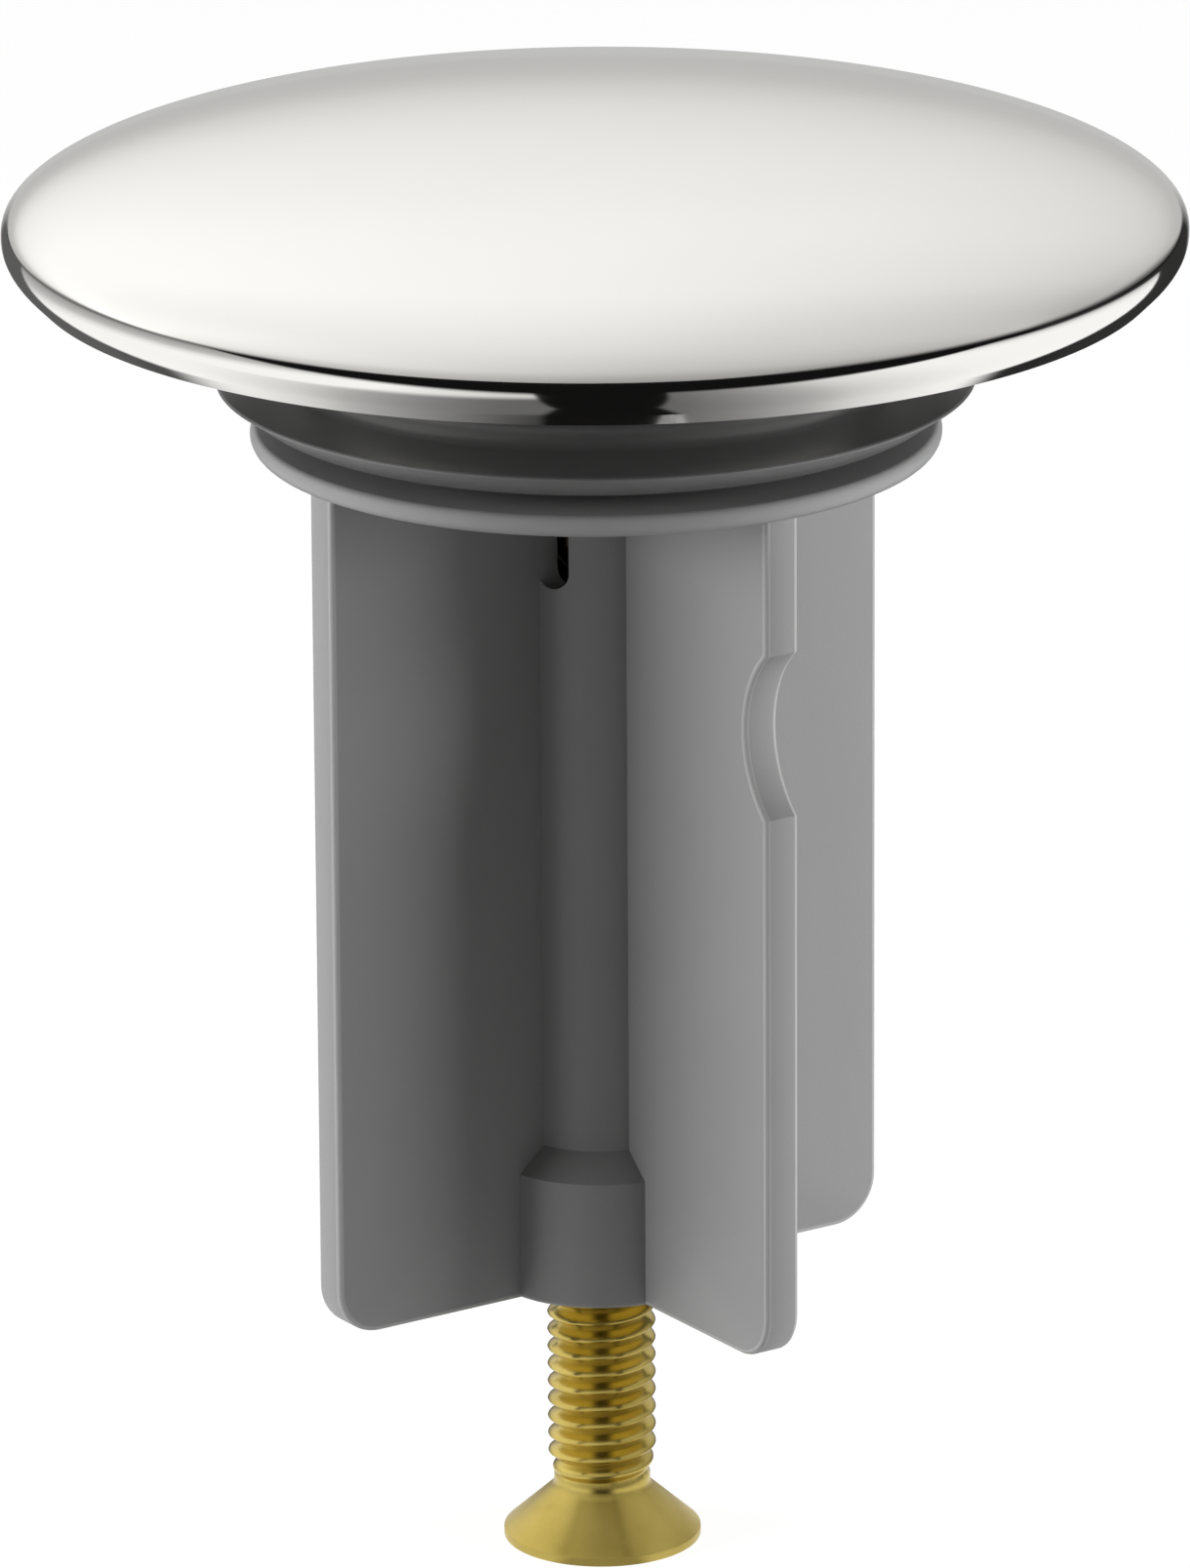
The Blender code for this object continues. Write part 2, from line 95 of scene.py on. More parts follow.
camera_data = bpy.data.cameras.new("camera")
camera_data.lens = CAMERA_LENS
camera_data.sensor_width = 36
camera_data.clip_start = 0.01
camera_data.clip_end = 20
camera = bpy.data.objects.new("camera", camera_data)
bpy.context.scene.collection.objects.link(camera)
camera.rotation_mode = "QUATERNION"
look = camera_back.to_track_quat("Z", "Y")
camera.rotation_quaternion = look @ Matrix.Rotation(CAMERA_ROLL, 3, "Z").to_quaternion()
aim = Vector((0, 0, AIM_HEIGHT)) - camera_right * AIM_TO_LEFT
camera.location = aim + camera_back * CAMERA_DISTANCE
bpy.context.scene.camera = camera
print("camera at", [round(value, 4) for value in camera.location])

# %% [markdown]
# Most of the plug is turned work: the cap, the seal, the flange and the screw's head are all round.
# Such a shape starts as a line of points in the (radius, height) plane and is spun round the axis.
# These helpers do that, and turn the finished bmesh into an object that rides on its body.

# %% Helpers for turned pieces
SMOOTH_ANGLE = math.radians(35)


def arc(centre, radius, start, end, steps):
    """Points on an upright arc, as (across, height) pairs, with its angles in degrees."""
    points = []
    for step in range(steps + 1):
        angle = math.radians(start + (end - start) * step / steps)
        points.append((centre[0] + radius * math.cos(angle), centre[1] + radius * math.sin(angle)))
    return points


def spin(bm, points, steps, closed=False):
    """Turns (radius, height) points round the axis."""
    verts = [bm.verts.new((radius, 0, height)) for radius, height in points]
    edges = [bm.edges.new(pair) for pair in zip(verts, verts[1:])]
    if closed:
        edges.append(bm.edges.new((verts[-1], verts[0])))
    bmesh.ops.spin(
        bm,
        geom=verts + edges,
        cent=(0, 0, 0),
        axis=(0, 0, 1),
        angle=math.tau,
        steps=steps,
        use_merge=True,
    )


def make_object(name, bm, sharp_angle=SMOOTH_ANGLE):
    """Turns a bmesh in millimetres into a smooth object in metres."""
    bmesh.ops.remove_doubles(bm, verts=bm.verts, dist=1e-5)
    bmesh.ops.recalc_face_normals(bm, faces=bm.faces)
    bmesh.ops.scale(bm, vec=(MM, MM, MM), verts=bm.verts)
    mesh = bpy.data.meshes.new(name)
    bm.to_mesh(mesh)
    bm.free()
    mesh.shade_smooth()
    mesh.set_sharp_from_angle(angle=sharp_angle)
    obj = bpy.data.objects.new(name, mesh)
    bpy.context.scene.collection.objects.link(obj)
    return obj


def seat(obj, body, node):
    """Lets a piece ride on its body and stand for its node of the packed model."""
    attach(obj, body)
    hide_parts(node)
    print(obj.name, len(obj.data.polygons), "faces", [round(s / MM, 2) for s in obj.dimensions])
    return obj


# %% [markdown]
# The cap is pressed from sheet metal, polished and plated. It works as a mirror, so its outline has
# to be a true smooth curve: any facet would show as a kink in a reflection. Its dome is a little
# fuller at the shoulder than an ellipse, which a superellipse gives with one formula. At the widest
# line the dome hands over to the side without an edge, and the side tucks in to the foot. Its lowest
# third is straight, at 45 degrees: a curve that went on there would mirror the fins.

# %% Cap: the outer face
CAP_RADIUS = cap_high.x
CAP_CROWN = 5.2
CAP_RIM = cap_high.z - CAP_CROWN
CAP_SIDE_DROP = 2.4
CAP_FOOT = CAP_RIM - CAP_SIDE_DROP
CAP_FOOT_SETBACK = 1.6
DOME_STEPS = 48
SIDE_STEPS = 20
DOME_REACH_POWER = 2.02
DOME_RISE_POWER = 2.27
SIDE_SETBACK_POWER = 2.04
SIDE_DROP_POWER = 0.917
SIDE_BEND = 45


def dome_points(reach, crown, base, steps):
    """Points down a superellipse, from the crown on the axis to the widest line."""
    points = []
    for step in range(steps + 1):
        angle = math.radians(90 * (1 - step / steps))
        across = reach * max(math.cos(angle), 0) ** (2 / DOME_REACH_POWER)
        points.append((across, base + crown * math.sin(angle) ** (2 / DOME_RISE_POWER)))
    return points


def side_points():
    """Points down the side, which curves in until it slopes at 45 degrees and then runs on straight."""
    points = []
    for step in range(1, SIDE_STEPS + 1):
        angle = math.radians(SIDE_BEND * step / SIDE_STEPS)
        across = CAP_RADIUS - CAP_FOOT_SETBACK * (1 - max(math.cos(angle), 0) ** SIDE_SETBACK_POWER)
        points.append((across, CAP_RIM - CAP_SIDE_DROP * math.sin(angle) ** SIDE_DROP_POWER))
    across, height = points[-1]
    points.append((across - (height - CAP_FOOT), CAP_FOOT))
    return points


outer_face = dome_points(CAP_RADIUS, CAP_CROWN, CAP_RIM, DOME_STEPS) + side_points()
print("outer face", len(outer_face), "points, foot radius", round(outer_face[-1][0], 2))

# %% [markdown]
# Under the dome the cap is hollow. A ring comes down inside it to the seal's neck, and a hub in the
# middle holds the snap stem. None of this shows from above, but the plug can be turned over, so the
# outline goes on round the inside: wall, ring, wall again, hub and bore. One spin then makes the
# whole cap, closed and without a seam.

# %% Cap: the inner face, the ring and the hub
CAP_TURN_STEPS = 192
CAP_FOOT_LAND = 1.2
CAP_WALL = 1.5
RING_RADIUS = 16.2
RING_WALL = 2.4
RING_DROP = 1.1
HUB_FOOT = cap_low.z
HUB_RADIUS = 7.0
HUB_BORE_RADIUS = 3.1
HUB_BORE_DEPTH = 7.3
CORNER_GAP = 0.5

cap_inner_radius = CAP_RADIUS - CAP_FOOT_SETBACK - CAP_FOOT_LAND
underside = dome_points(cap_inner_radius, CAP_CROWN - CAP_WALL, CAP_RIM, DOME_STEPS // 2)


def underside_height(radius):
    """Height of the cap's inner face, at a distance from the axis."""
    share = (radius / cap_inner_radius) ** DOME_REACH_POWER
    return CAP_RIM + (CAP_CROWN - CAP_WALL) * (1 - share) ** (1 / DOME_RISE_POWER)


def underside_between(low, high):
    """Points of the inner face, inwards, between two radii and clear of the corners there."""
    return [point for point in reversed(underside) if low + CORNER_GAP < point[0] < high - CORNER_GAP]


ring_inner = RING_RADIUS - RING_WALL
ring_foot = CAP_FOOT - RING_DROP
bore_top = HUB_FOOT + HUB_BORE_DEPTH
cap_profile = outer_face + [(cap_inner_radius, CAP_FOOT)]
cap_profile += underside_between(RING_RADIUS, CAP_RADIUS)
cap_profile += [(RING_RADIUS, underside_height(RING_RADIUS)), (RING_RADIUS, ring_foot)]
cap_profile += [(ring_inner, ring_foot), (ring_inner, underside_height(ring_inner))]
cap_profile += underside_between(HUB_RADIUS, ring_inner)
cap_profile += [(HUB_RADIUS, underside_height(HUB_RADIUS)), (HUB_RADIUS, HUB_FOOT)]
cap_profile += [(HUB_BORE_RADIUS, HUB_FOOT), (HUB_BORE_RADIUS, bore_top), (0, bore_top)]

bm = bmesh.new()
spin(bm, cap_profile, CAP_TURN_STEPS)
domed_cap = seat(make_object("domed_cap", bm), "cover", "cover_cap")

# %% [markdown]
# The seal is one moulded ring of rubber. Its lip reaches out like a shallow plate. Underneath, a flat
# cone comes first and then a steeper one, which is the face that presses on the drain's seat. On top,
# the lip falls a little towards its edge, and a fillet leads up to the neck under the cap. Rubber shows
# its round edges more than its colour, so the lip's edge gets a small arc of its own.

# %% Seal
SEAL_TURN_STEPS = 160
SEAL_FOOT = seal_low.z
SEAL_TOP = seal_high.z
SEAL_BORE_RADIUS = 13.5
SEAL_FOOT_RADIUS = 15.3
SEAL_FOOT_ROUND = 0.25
SEAL_FOOT_LIFT = 0.02
SEAL_NECK_RADIUS = RING_RADIUS
LIP_RADIUS = seal_high.x
LIP_RISE = 2.15
LIP_BEND_RADIUS = 18.3
LIP_BEND_RISE = 0.85
LIP_EDGE = 0.12
LIP_FALL = 0.4
NECK_FILLET = 1.2

lip_height = SEAL_FOOT + LIP_RISE
edge_centre = (LIP_RADIUS - LIP_EDGE, lip_height + LIP_EDGE)
seal_profile = [(SEAL_BORE_RADIUS, SEAL_FOOT)]
seal_profile += [(SEAL_FOOT_RADIUS - SEAL_FOOT_ROUND, SEAL_FOOT)]
seal_profile += [(SEAL_FOOT_RADIUS, SEAL_FOOT + SEAL_FOOT_LIFT)]
seal_profile += [(LIP_BEND_RADIUS, SEAL_FOOT + LIP_BEND_RISE)]
seal_profile += arc(edge_centre, LIP_EDGE, -50, 80, 6)
fillet_foot = lip_height + 2 * LIP_EDGE + LIP_FALL
fillet_centre = (SEAL_NECK_RADIUS + NECK_FILLET, fillet_foot + NECK_FILLET)
seal_profile += arc(fillet_centre, NECK_FILLET, 262, 180, 12)
seal_profile += [(SEAL_NECK_RADIUS, SEAL_TOP), (SEAL_BORE_RADIUS, SEAL_TOP)]

bm = bmesh.new()
spin(bm, seal_profile, SEAL_TURN_STEPS, closed=True)
lip_seal = seat(make_object("lip_seal", bm), "guide", "profile_seal")

# %% [markdown]
# The guide is one plastic moulding: a cup and flange that carry the seal, a tube down the middle,
# four fins that slide in the drain, and a collar round the screw. The round body is spun, each fin is
# a flat outline pulled to its thickness with its free edges rounded, and a Boolean joins them, so
# that the surface is one clean skin. The tube's slots and the pocket for the brass insert are cut
# out last.

# %% Guide: the round body
GUIDE_TURN_STEPS = 128
GUIDE_TOP = guide_high.z
FIN_END = guide_low.z
SEAL_GAP = 0.3
FLANGE_RADIUS = guide_high.x
FLANGE_THICKNESS = 1.25
FLANGE_TOP = SEAL_FOOT - SEAL_GAP
FLANGE_UNDER = FLANGE_TOP - FLANGE_THICKNESS
FLANGE_TOP_ROUND = 0.4
FLANGE_UNDER_ROUND = 0.8
SPIGOT_RADIUS = 13.2
SPIGOT_WALL = 1.6
SPIGOT_FLOOR = 1.2
BOSS_RADIUS = 6.5
TUBE_RADIUS = 4.5
STEM_BORE_RADIUS = 2.4
STEM_BORE_DEPTH = 9.3
SCREW_BORE_RADIUS = 3.3
COLLAR_RADIUS = 6.0
COLLAR_HEIGHT = 7.1
COLLAR_TAPER = 1.4
COLLAR_FOOT_ROUND = 0.3

moat_radius = SPIGOT_RADIUS - SPIGOT_WALL
moat_floor = FLANGE_TOP + SPIGOT_FLOOR
collar_top = FIN_END + COLLAR_HEIGHT
stem_ledge = GUIDE_TOP - STEM_BORE_DEPTH
guide_profile = [
    (STEM_BORE_RADIUS, GUIDE_TOP),
    (BOSS_RADIUS, GUIDE_TOP),
    (BOSS_RADIUS, moat_floor),
    (moat_radius, moat_floor),
    (moat_radius, GUIDE_TOP),
    (SPIGOT_RADIUS, GUIDE_TOP),
    (SPIGOT_RADIUS, FLANGE_TOP),
]
top_centre = (FLANGE_RADIUS - FLANGE_TOP_ROUND, FLANGE_TOP - FLANGE_TOP_ROUND)
under_centre = (FLANGE_RADIUS - FLANGE_UNDER_ROUND, FLANGE_UNDER + FLANGE_UNDER_ROUND)
guide_profile += arc(top_centre, FLANGE_TOP_ROUND, 90, 0, 6)
guide_profile += arc(under_centre, FLANGE_UNDER_ROUND, 0, -90, 8)
guide_profile += [
    (TUBE_RADIUS, FLANGE_UNDER),
    (TUBE_RADIUS, collar_top + COLLAR_TAPER),
    (COLLAR_RADIUS, collar_top),
]
collar_centre = (COLLAR_RADIUS - COLLAR_FOOT_ROUND, FIN_END + COLLAR_FOOT_ROUND)
guide_profile += arc(collar_centre, COLLAR_FOOT_ROUND, 0, -90, 4)
guide_profile += [
    (SCREW_BORE_RADIUS, FIN_END),
    (SCREW_BORE_RADIUS, stem_ledge),
    (STEM_BORE_RADIUS, stem_ledge),
]

bm = bmesh.new()
spin(bm, guide_profile, GUIDE_TURN_STEPS, closed=True)
finned_guide = make_object("finned_guide", bm)
print("guide body", len(finned_guide.data.polygons), "faces")

# %% [markdown]
# A fin is flat, so its outline is drawn once in the (radius, height) plane, with an arc for the lower
# corner and, on one fin only, an arc for the notch. Extruding it gives the thickness, and a small
# bevel rounds the edges that a hand would meet. The same fin is then turned to its four places.

# %% Guide: the fin's outline
FIN_COUNT = 4
FIN_REACH = 17.5
FIN_CORNER_ROUND = 2.6
NOTCH_WIDTH = 9.0
NOTCH_DEPTH = 2.0
NOTCH_DROP = 13.2


def fin_outline(notched):
    """Outline of one fin in the (radius, height) plane, from its root in the tube's wall."""
    root = (SCREW_BORE_RADIUS + TUBE_RADIUS) / 2
    top = FLANGE_UNDER + FLANGE_THICKNESS / 2
    corner = (FIN_REACH - FIN_CORNER_ROUND, FIN_END + FIN_CORNER_ROUND)
    points = [(root, top), (root, FIN_END)]
    points += arc(corner, FIN_CORNER_ROUND, -90, 0, 12)
    if notched:
        half = NOTCH_WIDTH / 2
        radius = (half**2 + NOTCH_DEPTH**2) / (2 * NOTCH_DEPTH)
        opening = math.degrees(math.asin(half / radius))
        centre = (FIN_REACH - NOTCH_DEPTH + radius, FLANGE_TOP - NOTCH_DROP)
        points += arc(centre, radius, 180 + opening, 180 - opening, 28)
    points.append((FIN_REACH, top))
    return points


def fin_turn(index):
    """Turns a shape that points towards +X to the place of one fin."""
    return Matrix.Rotation(math.radians(-90) + index * math.tau / FIN_COUNT, 3, "Z")


print("fin outline", len(fin_outline(False)), "points, with the notch", len(fin_outline(True)))

# %% Guide: the fins
FIN_THICKNESS = 2.1
FIN_EDGE_ROUND = 0.28


def pull(bm, face, offset):
    """Extrudes a face by an offset and returns the corners that moved."""
    pulled = bmesh.ops.extrude_face_region(bm, geom=[face])["geom"]
    moved = [item for item in pulled if isinstance(item, bmesh.types.BMVert)]
    bmesh.ops.translate(bm, verts=moved, vec=offset)
    return moved


def make_fin(notched):
    """One fin towards +X, with its free edges rounded over."""
    half = FIN_THICKNESS / 2
    fin = bmesh.new()
    outline = fin_outline(notched)
    face = fin.faces.new([fin.verts.new((radius, -half, height)) for radius, height in outline])
    pull(fin, face, (0, FIN_THICKNESS, 0))
    bmesh.ops.recalc_face_normals(fin, faces=fin.faces)
    free = []
    for edge in fin.edges:
        middle = (edge.verts[0].co + edge.verts[1].co) / 2
        along = abs(edge.verts[0].co.y - edge.verts[1].co.y) < half
        if along and middle.x > TUBE_RADIUS and middle.z < FLANGE_UNDER:
            free.append(edge)
    bmesh.ops.bevel(
        fin,
        geom=free,
        offset=FIN_EDGE_ROUND,
        offset_type="OFFSET",
        segments=3,
        profile=0.5,
        affect="EDGES",
        material=-1,
        clamp_overlap=True,
    )
    return fin


def helper_object(name, bm):
    """A blank or cutter that only shapes another piece."""
    obj = make_object(name, bm)
    obj.hide_render = True
    return obj


bm = bmesh.new()
for index in range(FIN_COUNT):
    fin = make_fin(notched=index == 0)
    bmesh.ops.rotate(fin, cent=(0, 0, 0), matrix=fin_turn(index), verts=fin.verts)
    fin_mesh = bpy.data.meshes.new("fin")
    fin.to_mesh(fin_mesh)
    fin.free()
    bm.from_mesh(fin_mesh)
    bpy.data.meshes.remove(fin_mesh)
fin_blank = helper_object("fin_blank", bm)
print("fins", len(fin_blank.data.polygons), "faces")

# %% [markdown]
# Beside each fin the tube has a slot at its upper end, probably so that its wall can give way when
# the stem snaps in. The slots end in a half round. Each is an outline pulled outwards from the axis,
# and it bites a little into the fin's side, so that the cut leaves no thin skin there.

# %% Guide: the slots beside the fins
SLOT_WIDTH = 1.75
SLOT_LENGTH = 7.0
SLOT_RELIEF = 0.1

bm = bmesh.new()
slot_radius = SLOT_WIDTH / 2
near = FIN_THICKNESS / 2 - SLOT_RELIEF
slot_outline = arc((near + slot_radius, FLANGE_UNDER - SLOT_LENGTH + slot_radius), slot_radius, 0, -180, 16)
slot_outline += [(near, FLANGE_UNDER), (near + SLOT_WIDTH, FLANGE_UNDER)]
for index in range(FIN_COUNT):
    face = bm.faces.new([bm.verts.new((0, across, height)) for across, height in slot_outline])
    moved = pull(bm, face, (TUBE_RADIUS + SLOT_RELIEF, 0, 0))
    bmesh.ops.rotate(bm, cent=(0, 0, 0), matrix=fin_turn(index), verts=list(face.verts) + moved)
slot_cutter = helper_object("slot_cutter", bm)
print("slots", len(slot_cutter.data.polygons), "faces")

# %% Guide: the insert's pocket
POCKET_TURN_STEPS = 96
POCKET_RADIUS = 4.3
POCKET_DEPTH = 7.6
OVERCUT = 1.0

foot = FIN_END - OVERCUT
roof = FIN_END + POCKET_DEPTH
pocket_profile = [(0, foot), (POCKET_RADIUS, foot), (POCKET_RADIUS, roof), (0, roof)]
bm = bmesh.new()
spin(bm, pocket_profile, POCKET_TURN_STEPS)
pocket_cutter = helper_object("pocket_cutter", bm)
print("pocket", len(pocket_cutter.data.polygons), "faces")

# %% [markdown]
# Now the parts of the guide become one. A Boolean modifier adds or cuts a shape exactly where the
# surfaces meet. It is applied at once, so that the piece is left with a plain mesh, and the helper
# shape is removed.

# %% Guide: joined and cut


def combine(obj, other, operation):
    """Adds a Boolean and applies it at once, so that the final mesh is plain."""
    modifier = obj.modifiers.new(operation.lower(), "BOOLEAN")
    modifier.operation = operation
    modifier.object = other
    modifier.solver = "EXACT"
    bpy.context.view_layer.update()
    joined = bpy.data.meshes.new_from_object(obj.evaluated_get(bpy.context.evaluated_depsgraph_get()))
    obj.modifiers.clear()
    obj.data = joined
    bpy.data.objects.remove(other)


combine(finned_guide, fin_blank, "UNION")
combine(finned_guide, slot_cutter, "DIFFERENCE")
combine(finned_guide, pocket_cutter, "DIFFERENCE")
finned_guide.data.shade_smooth()
finned_guide.data.set_sharp_from_angle(angle=SMOOTH_ANGLE)
seat(finned_guide, "guide", "guide_body")

# %% [markdown]
# The screw is a countersunk M6 with a rolled thread. Rolling leaves round crests, so the thread's
# profile is a smooth wave and not a sharp V. One pitch of that wave is spun as a helix: the spin
# climbs by a pitch each turn, so its turns meet. Near the head the wave fades into the plain neck, and
# at the far end a chamfer cuts it back.

# %% Screw: the thread
THREAD_TURN_STEPS = 48
WAVE_STEPS = 10
SCREW_RADIUS = 2.95
SCREW_PITCH = 1.0
SCREW_LENGTH = screw_high.z
THREAD_DEPTH = 0.62
CREST_FULLNESS = 0.85
HEAD_EDGE = 0.5
CONE_RISE = 2.5
NECK_RADIUS = 2.62
THREAD_START = 0.35
THREAD_RUN_IN = 1.6
THREAD_DIVE = 0.06
END_CHAMFER = 0.7
WELD = 1e-4

thread_root = SCREW_RADIUS - THREAD_DEPTH
cone_top = HEAD_EDGE + CONE_RISE
thread_low = cone_top + THREAD_START


def wave(share):
    """Height of the thread over its root, 0 to 1, along one pitch from root to root."""
    swell = (1 - math.cos(math.tau * share)) / 2
    return swell**CREST_FULLNESS


def make_thread(bm):
    """The helix, run out into the neck at its lower end and chamfered at its upper end."""
    first = math.floor(thread_low / SCREW_PITCH) - 1
    turns = math.ceil(SCREW_LENGTH / SCREW_PITCH) + 1 - first
    verts = []
    for step in range(WAVE_STEPS + 1):
        share = step / WAVE_STEPS
        radius = thread_root + THREAD_DEPTH * wave(share)
        verts.append(bm.verts.new((radius, 0, (first + share) * SCREW_PITCH)))
    edges = [bm.edges.new(pair) for pair in zip(verts, verts[1:])]
    bmesh.ops.spin(
        bm,
        geom=verts + edges,
        cent=(0, 0, 0),
        axis=(0, 0, 1),
        dvec=(0, 0, SCREW_PITCH / THREAD_TURN_STEPS),
        angle=math.tau * turns,
        steps=THREAD_TURN_STEPS * turns,
    )
    bmesh.ops.remove_doubles(bm, verts=bm.verts, dist=WELD)
    for vert in bm.verts:
        radius = vert.co.xy.length
        height = min(max(vert.co.z, thread_low), SCREW_LENGTH)
        share = min((height - thread_low) / THREAD_RUN_IN, 1.0)
        start = NECK_RADIUS - THREAD_DIVE
        faded = start + (radius - start) * share
        chamfered = SCREW_RADIUS - max(height - (SCREW_LENGTH - END_CHAMFER), 0)
        shrink = min(faded, chamfered) / radius
        vert.co = (vert.co.x * shrink, vert.co.y * shrink, height)
    bmesh.ops.remove_doubles(bm, verts=bm.verts, dist=WELD)
    bmesh.ops.dissolve_degenerate(bm, edges=bm.edges, dist=WELD)
    bmesh.ops.holes_fill(bm, edges=[edge for edge in bm.edges if edge.is_boundary], sides=0)


bm = bmesh.new()
make_thread(bm)
thread = helper_object("thread", bm)
print("thread", len(thread.data.polygons), "faces")

# %% [markdown]
# The head is a cone, turned on a lathe, with a thin rim and a small flare where it meets the neck.
# Its outline runs on a little way inside the thread, so that the two solids overlap and a Boolean can
# join them without a gap.

# %% Screw: the head
HEAD_TURN_STEPS = 128
HEAD_TRIM = 0.12
HEAD_EDGE_ROUND = 0.12
RIM_ROUND_DROP = 0.05
FLARE = 0.7
FLARE_LIFT = 0.3
NECK_LENGTH = 0.6
CORE_LENGTH = 0.6
CORE_SETBACK = 0.05

rim = screw_high.x - HEAD_TRIM - HEAD_EDGE_ROUND
neck_top = cone_top + NECK_LENGTH
core_top = neck_top + CORE_LENGTH
head_profile = [(0, 0), (rim, 0)]
head_profile += arc((rim, HEAD_EDGE_ROUND), HEAD_EDGE_ROUND, -60, 0, 3)
head_profile += arc((rim, HEAD_EDGE - RIM_ROUND_DROP), HEAD_EDGE_ROUND, 0, 45, 3)
head_profile += arc((NECK_RADIUS + FLARE, cone_top + FLARE_LIFT), FLARE, 228, 180, 6)
head_profile += [(NECK_RADIUS, neck_top), (thread_root - CORE_SETBACK, core_top), (0, core_top)]
bm = bmesh.new()
spin(bm, head_profile, HEAD_TURN_STEPS)
brass_screw = make_object("brass_screw", bm)
print("head", len(brass_screw.data.polygons), "faces")

# %% [markdown]
# The drive is a cross recess for a common screwdriver. A cutter in the shape of a plus sign, narrower
# at its inner end, is lofted between two rings of points and taken out of the head.

# %% Screw: the cross recess, and all of it joined
RECESS_SPAN = 6.0
RECESS_WIDTH = 1.2
RECESS_DEPTH = 2.6
RECESS_TAPER = 0.42

bm = bmesh.new()
narrowing = (1 - RECESS_TAPER) / RECESS_DEPTH
for height in (-OVERCUT, RECESS_DEPTH):
    share = 1 - narrowing * height
    arm = RECESS_SPAN / 2 * share
    half = RECESS_WIDTH / 2 * (1 + share) / 2
    ring = []
    for quarter in range(4):
        turn = Matrix.Rotation(quarter * math.pi / 2, 3, "Z")
        for x, y in ((arm, -half), (arm, half), (half, half)):
            ring.append(bm.verts.new(turn @ Vector((x, y, height))))
    bm.faces.new(ring)
bmesh.ops.bridge_loops(bm, edges=[edge for edge in bm.edges if edge.is_boundary])
recess_cutter = helper_object("recess_cutter", bm)

combine(brass_screw, thread, "UNION")
combine(brass_screw, recess_cutter, "DIFFERENCE")
brass_screw.data.shade_smooth()
brass_screw.data.set_sharp_from_angle(angle=SMOOTH_ANGLE)
seat(brass_screw, "screw", "adjusting_screw")

# %% [markdown]
# Every real surface is a little uneven, and a shader that knows this looks less like a drawing. Two
# effects are used by more than one material here, so each is a node group: a fine grain, for the
# slight unevenness of moulded and plated skins, and turning marks, the rings that a lathe tool
# leaves. Each gives a mask and a bumped normal, and the materials mix them in with their own values.

# %% Fine grain, a shared effect


def new_group(name, inputs, outputs):
    """An empty node group with named sockets, and its entry and exit."""
    group = bpy.data.node_groups.new(name, "ShaderNodeTree")
    for socket_name, default in inputs:
        socket = group.interface.new_socket(name=socket_name, in_out="INPUT", socket_type="NodeSocketFloat")
        socket.default_value = default
    for socket_name, kind in outputs:
        group.interface.new_socket(name=socket_name, in_out="OUTPUT", socket_type=kind)
    entry = group.nodes.new("NodeGroupInput")
    leave = group.nodes.new("NodeGroupOutput")
    return group, entry, leave


def make_grain_group():
    """Noise at one scale, as a mask and as a bumped normal. Scale counts bumps per metre."""
    group, entry, leave = new_group(
        "fine_grain",
        [("Scale", 4000.0), ("Detail", 4.0), ("Bump", 0.1), ("Height", 0.00002)],
        [("Mask", "NodeSocketFloat"), ("Normal", "NodeSocketVector")],
    )
    links = group.links
    place = group.nodes.new("ShaderNodeTexCoord")
    noise = group.nodes.new("ShaderNodeTexNoise")
    bump = group.nodes.new("ShaderNodeBump")
    links.new(place.outputs["Object"], noise.inputs["Vector"])
    links.new(entry.outputs["Scale"], noise.inputs["Scale"])
    links.new(entry.outputs["Detail"], noise.inputs["Detail"])
    links.new(entry.outputs["Bump"], bump.inputs["Strength"])
    links.new(entry.outputs["Height"], bump.inputs["Distance"])
    links.new(noise.outputs["Fac"], bump.inputs["Height"])
    links.new(noise.outputs["Fac"], leave.inputs["Mask"])
    links.new(bump.outputs["Normal"], leave.inputs["Normal"])
    return group


grain_group = make_grain_group()
print(grain_group.name, len(grain_group.nodes), "nodes")

# %% Turning marks, a shared effect


def make_turning_group():
    """Rings along the axis and outwards, as a lathe tool leaves them. Scale counts rings per metre."""
    group, entry, leave = new_group(
        "turning_marks",
        [("Scale", 3000.0), ("Bump", 0.1), ("Height", 0.00002)],
        [("Mask", "NodeSocketFloat"), ("Normal", "NodeSocketVector")],
    )
    links = group.links
    place = group.nodes.new("ShaderNodeTexCoord")
    parts = group.nodes.new("ShaderNodeSeparateXYZ")
    flat = group.nodes.new("ShaderNodeCombineXYZ")
    reach = group.nodes.new("ShaderNodeVectorMath")
    reach.operation = "LENGTH"
    total = group.nodes.new("ShaderNodeMath")
    total.operation = "SUBTRACT"
    noise = group.nodes.new("ShaderNodeTexNoise")
    noise.noise_dimensions = "1D"
    noise.inputs["Detail"].default_value = 3.0
    bump = group.nodes.new("ShaderNodeBump")
    links.new(place.outputs["Object"], parts.inputs["Vector"])
    links.new(parts.outputs["X"], flat.inputs["X"])
    links.new(parts.outputs["Y"], flat.inputs["Y"])
    links.new(flat.outputs["Vector"], reach.inputs[0])
    links.new(parts.outputs["Z"], total.inputs[0])
    links.new(reach.outputs["Value"], total.inputs[1])
    links.new(total.outputs["Value"], noise.inputs["W"])
    links.new(entry.outputs["Scale"], noise.inputs["Scale"])
    links.new(entry.outputs["Bump"], bump.inputs["Strength"])
    links.new(entry.outputs["Height"], bump.inputs["Distance"])
    links.new(noise.outputs["Fac"], bump.inputs["Height"])
    links.new(noise.outputs["Fac"], leave.inputs["Mask"])
    links.new(bump.outputs["Normal"], leave.inputs["Normal"])
    return group


turning_group = make_turning_group()
print(turning_group.name, len(turning_group.nodes), "nodes")

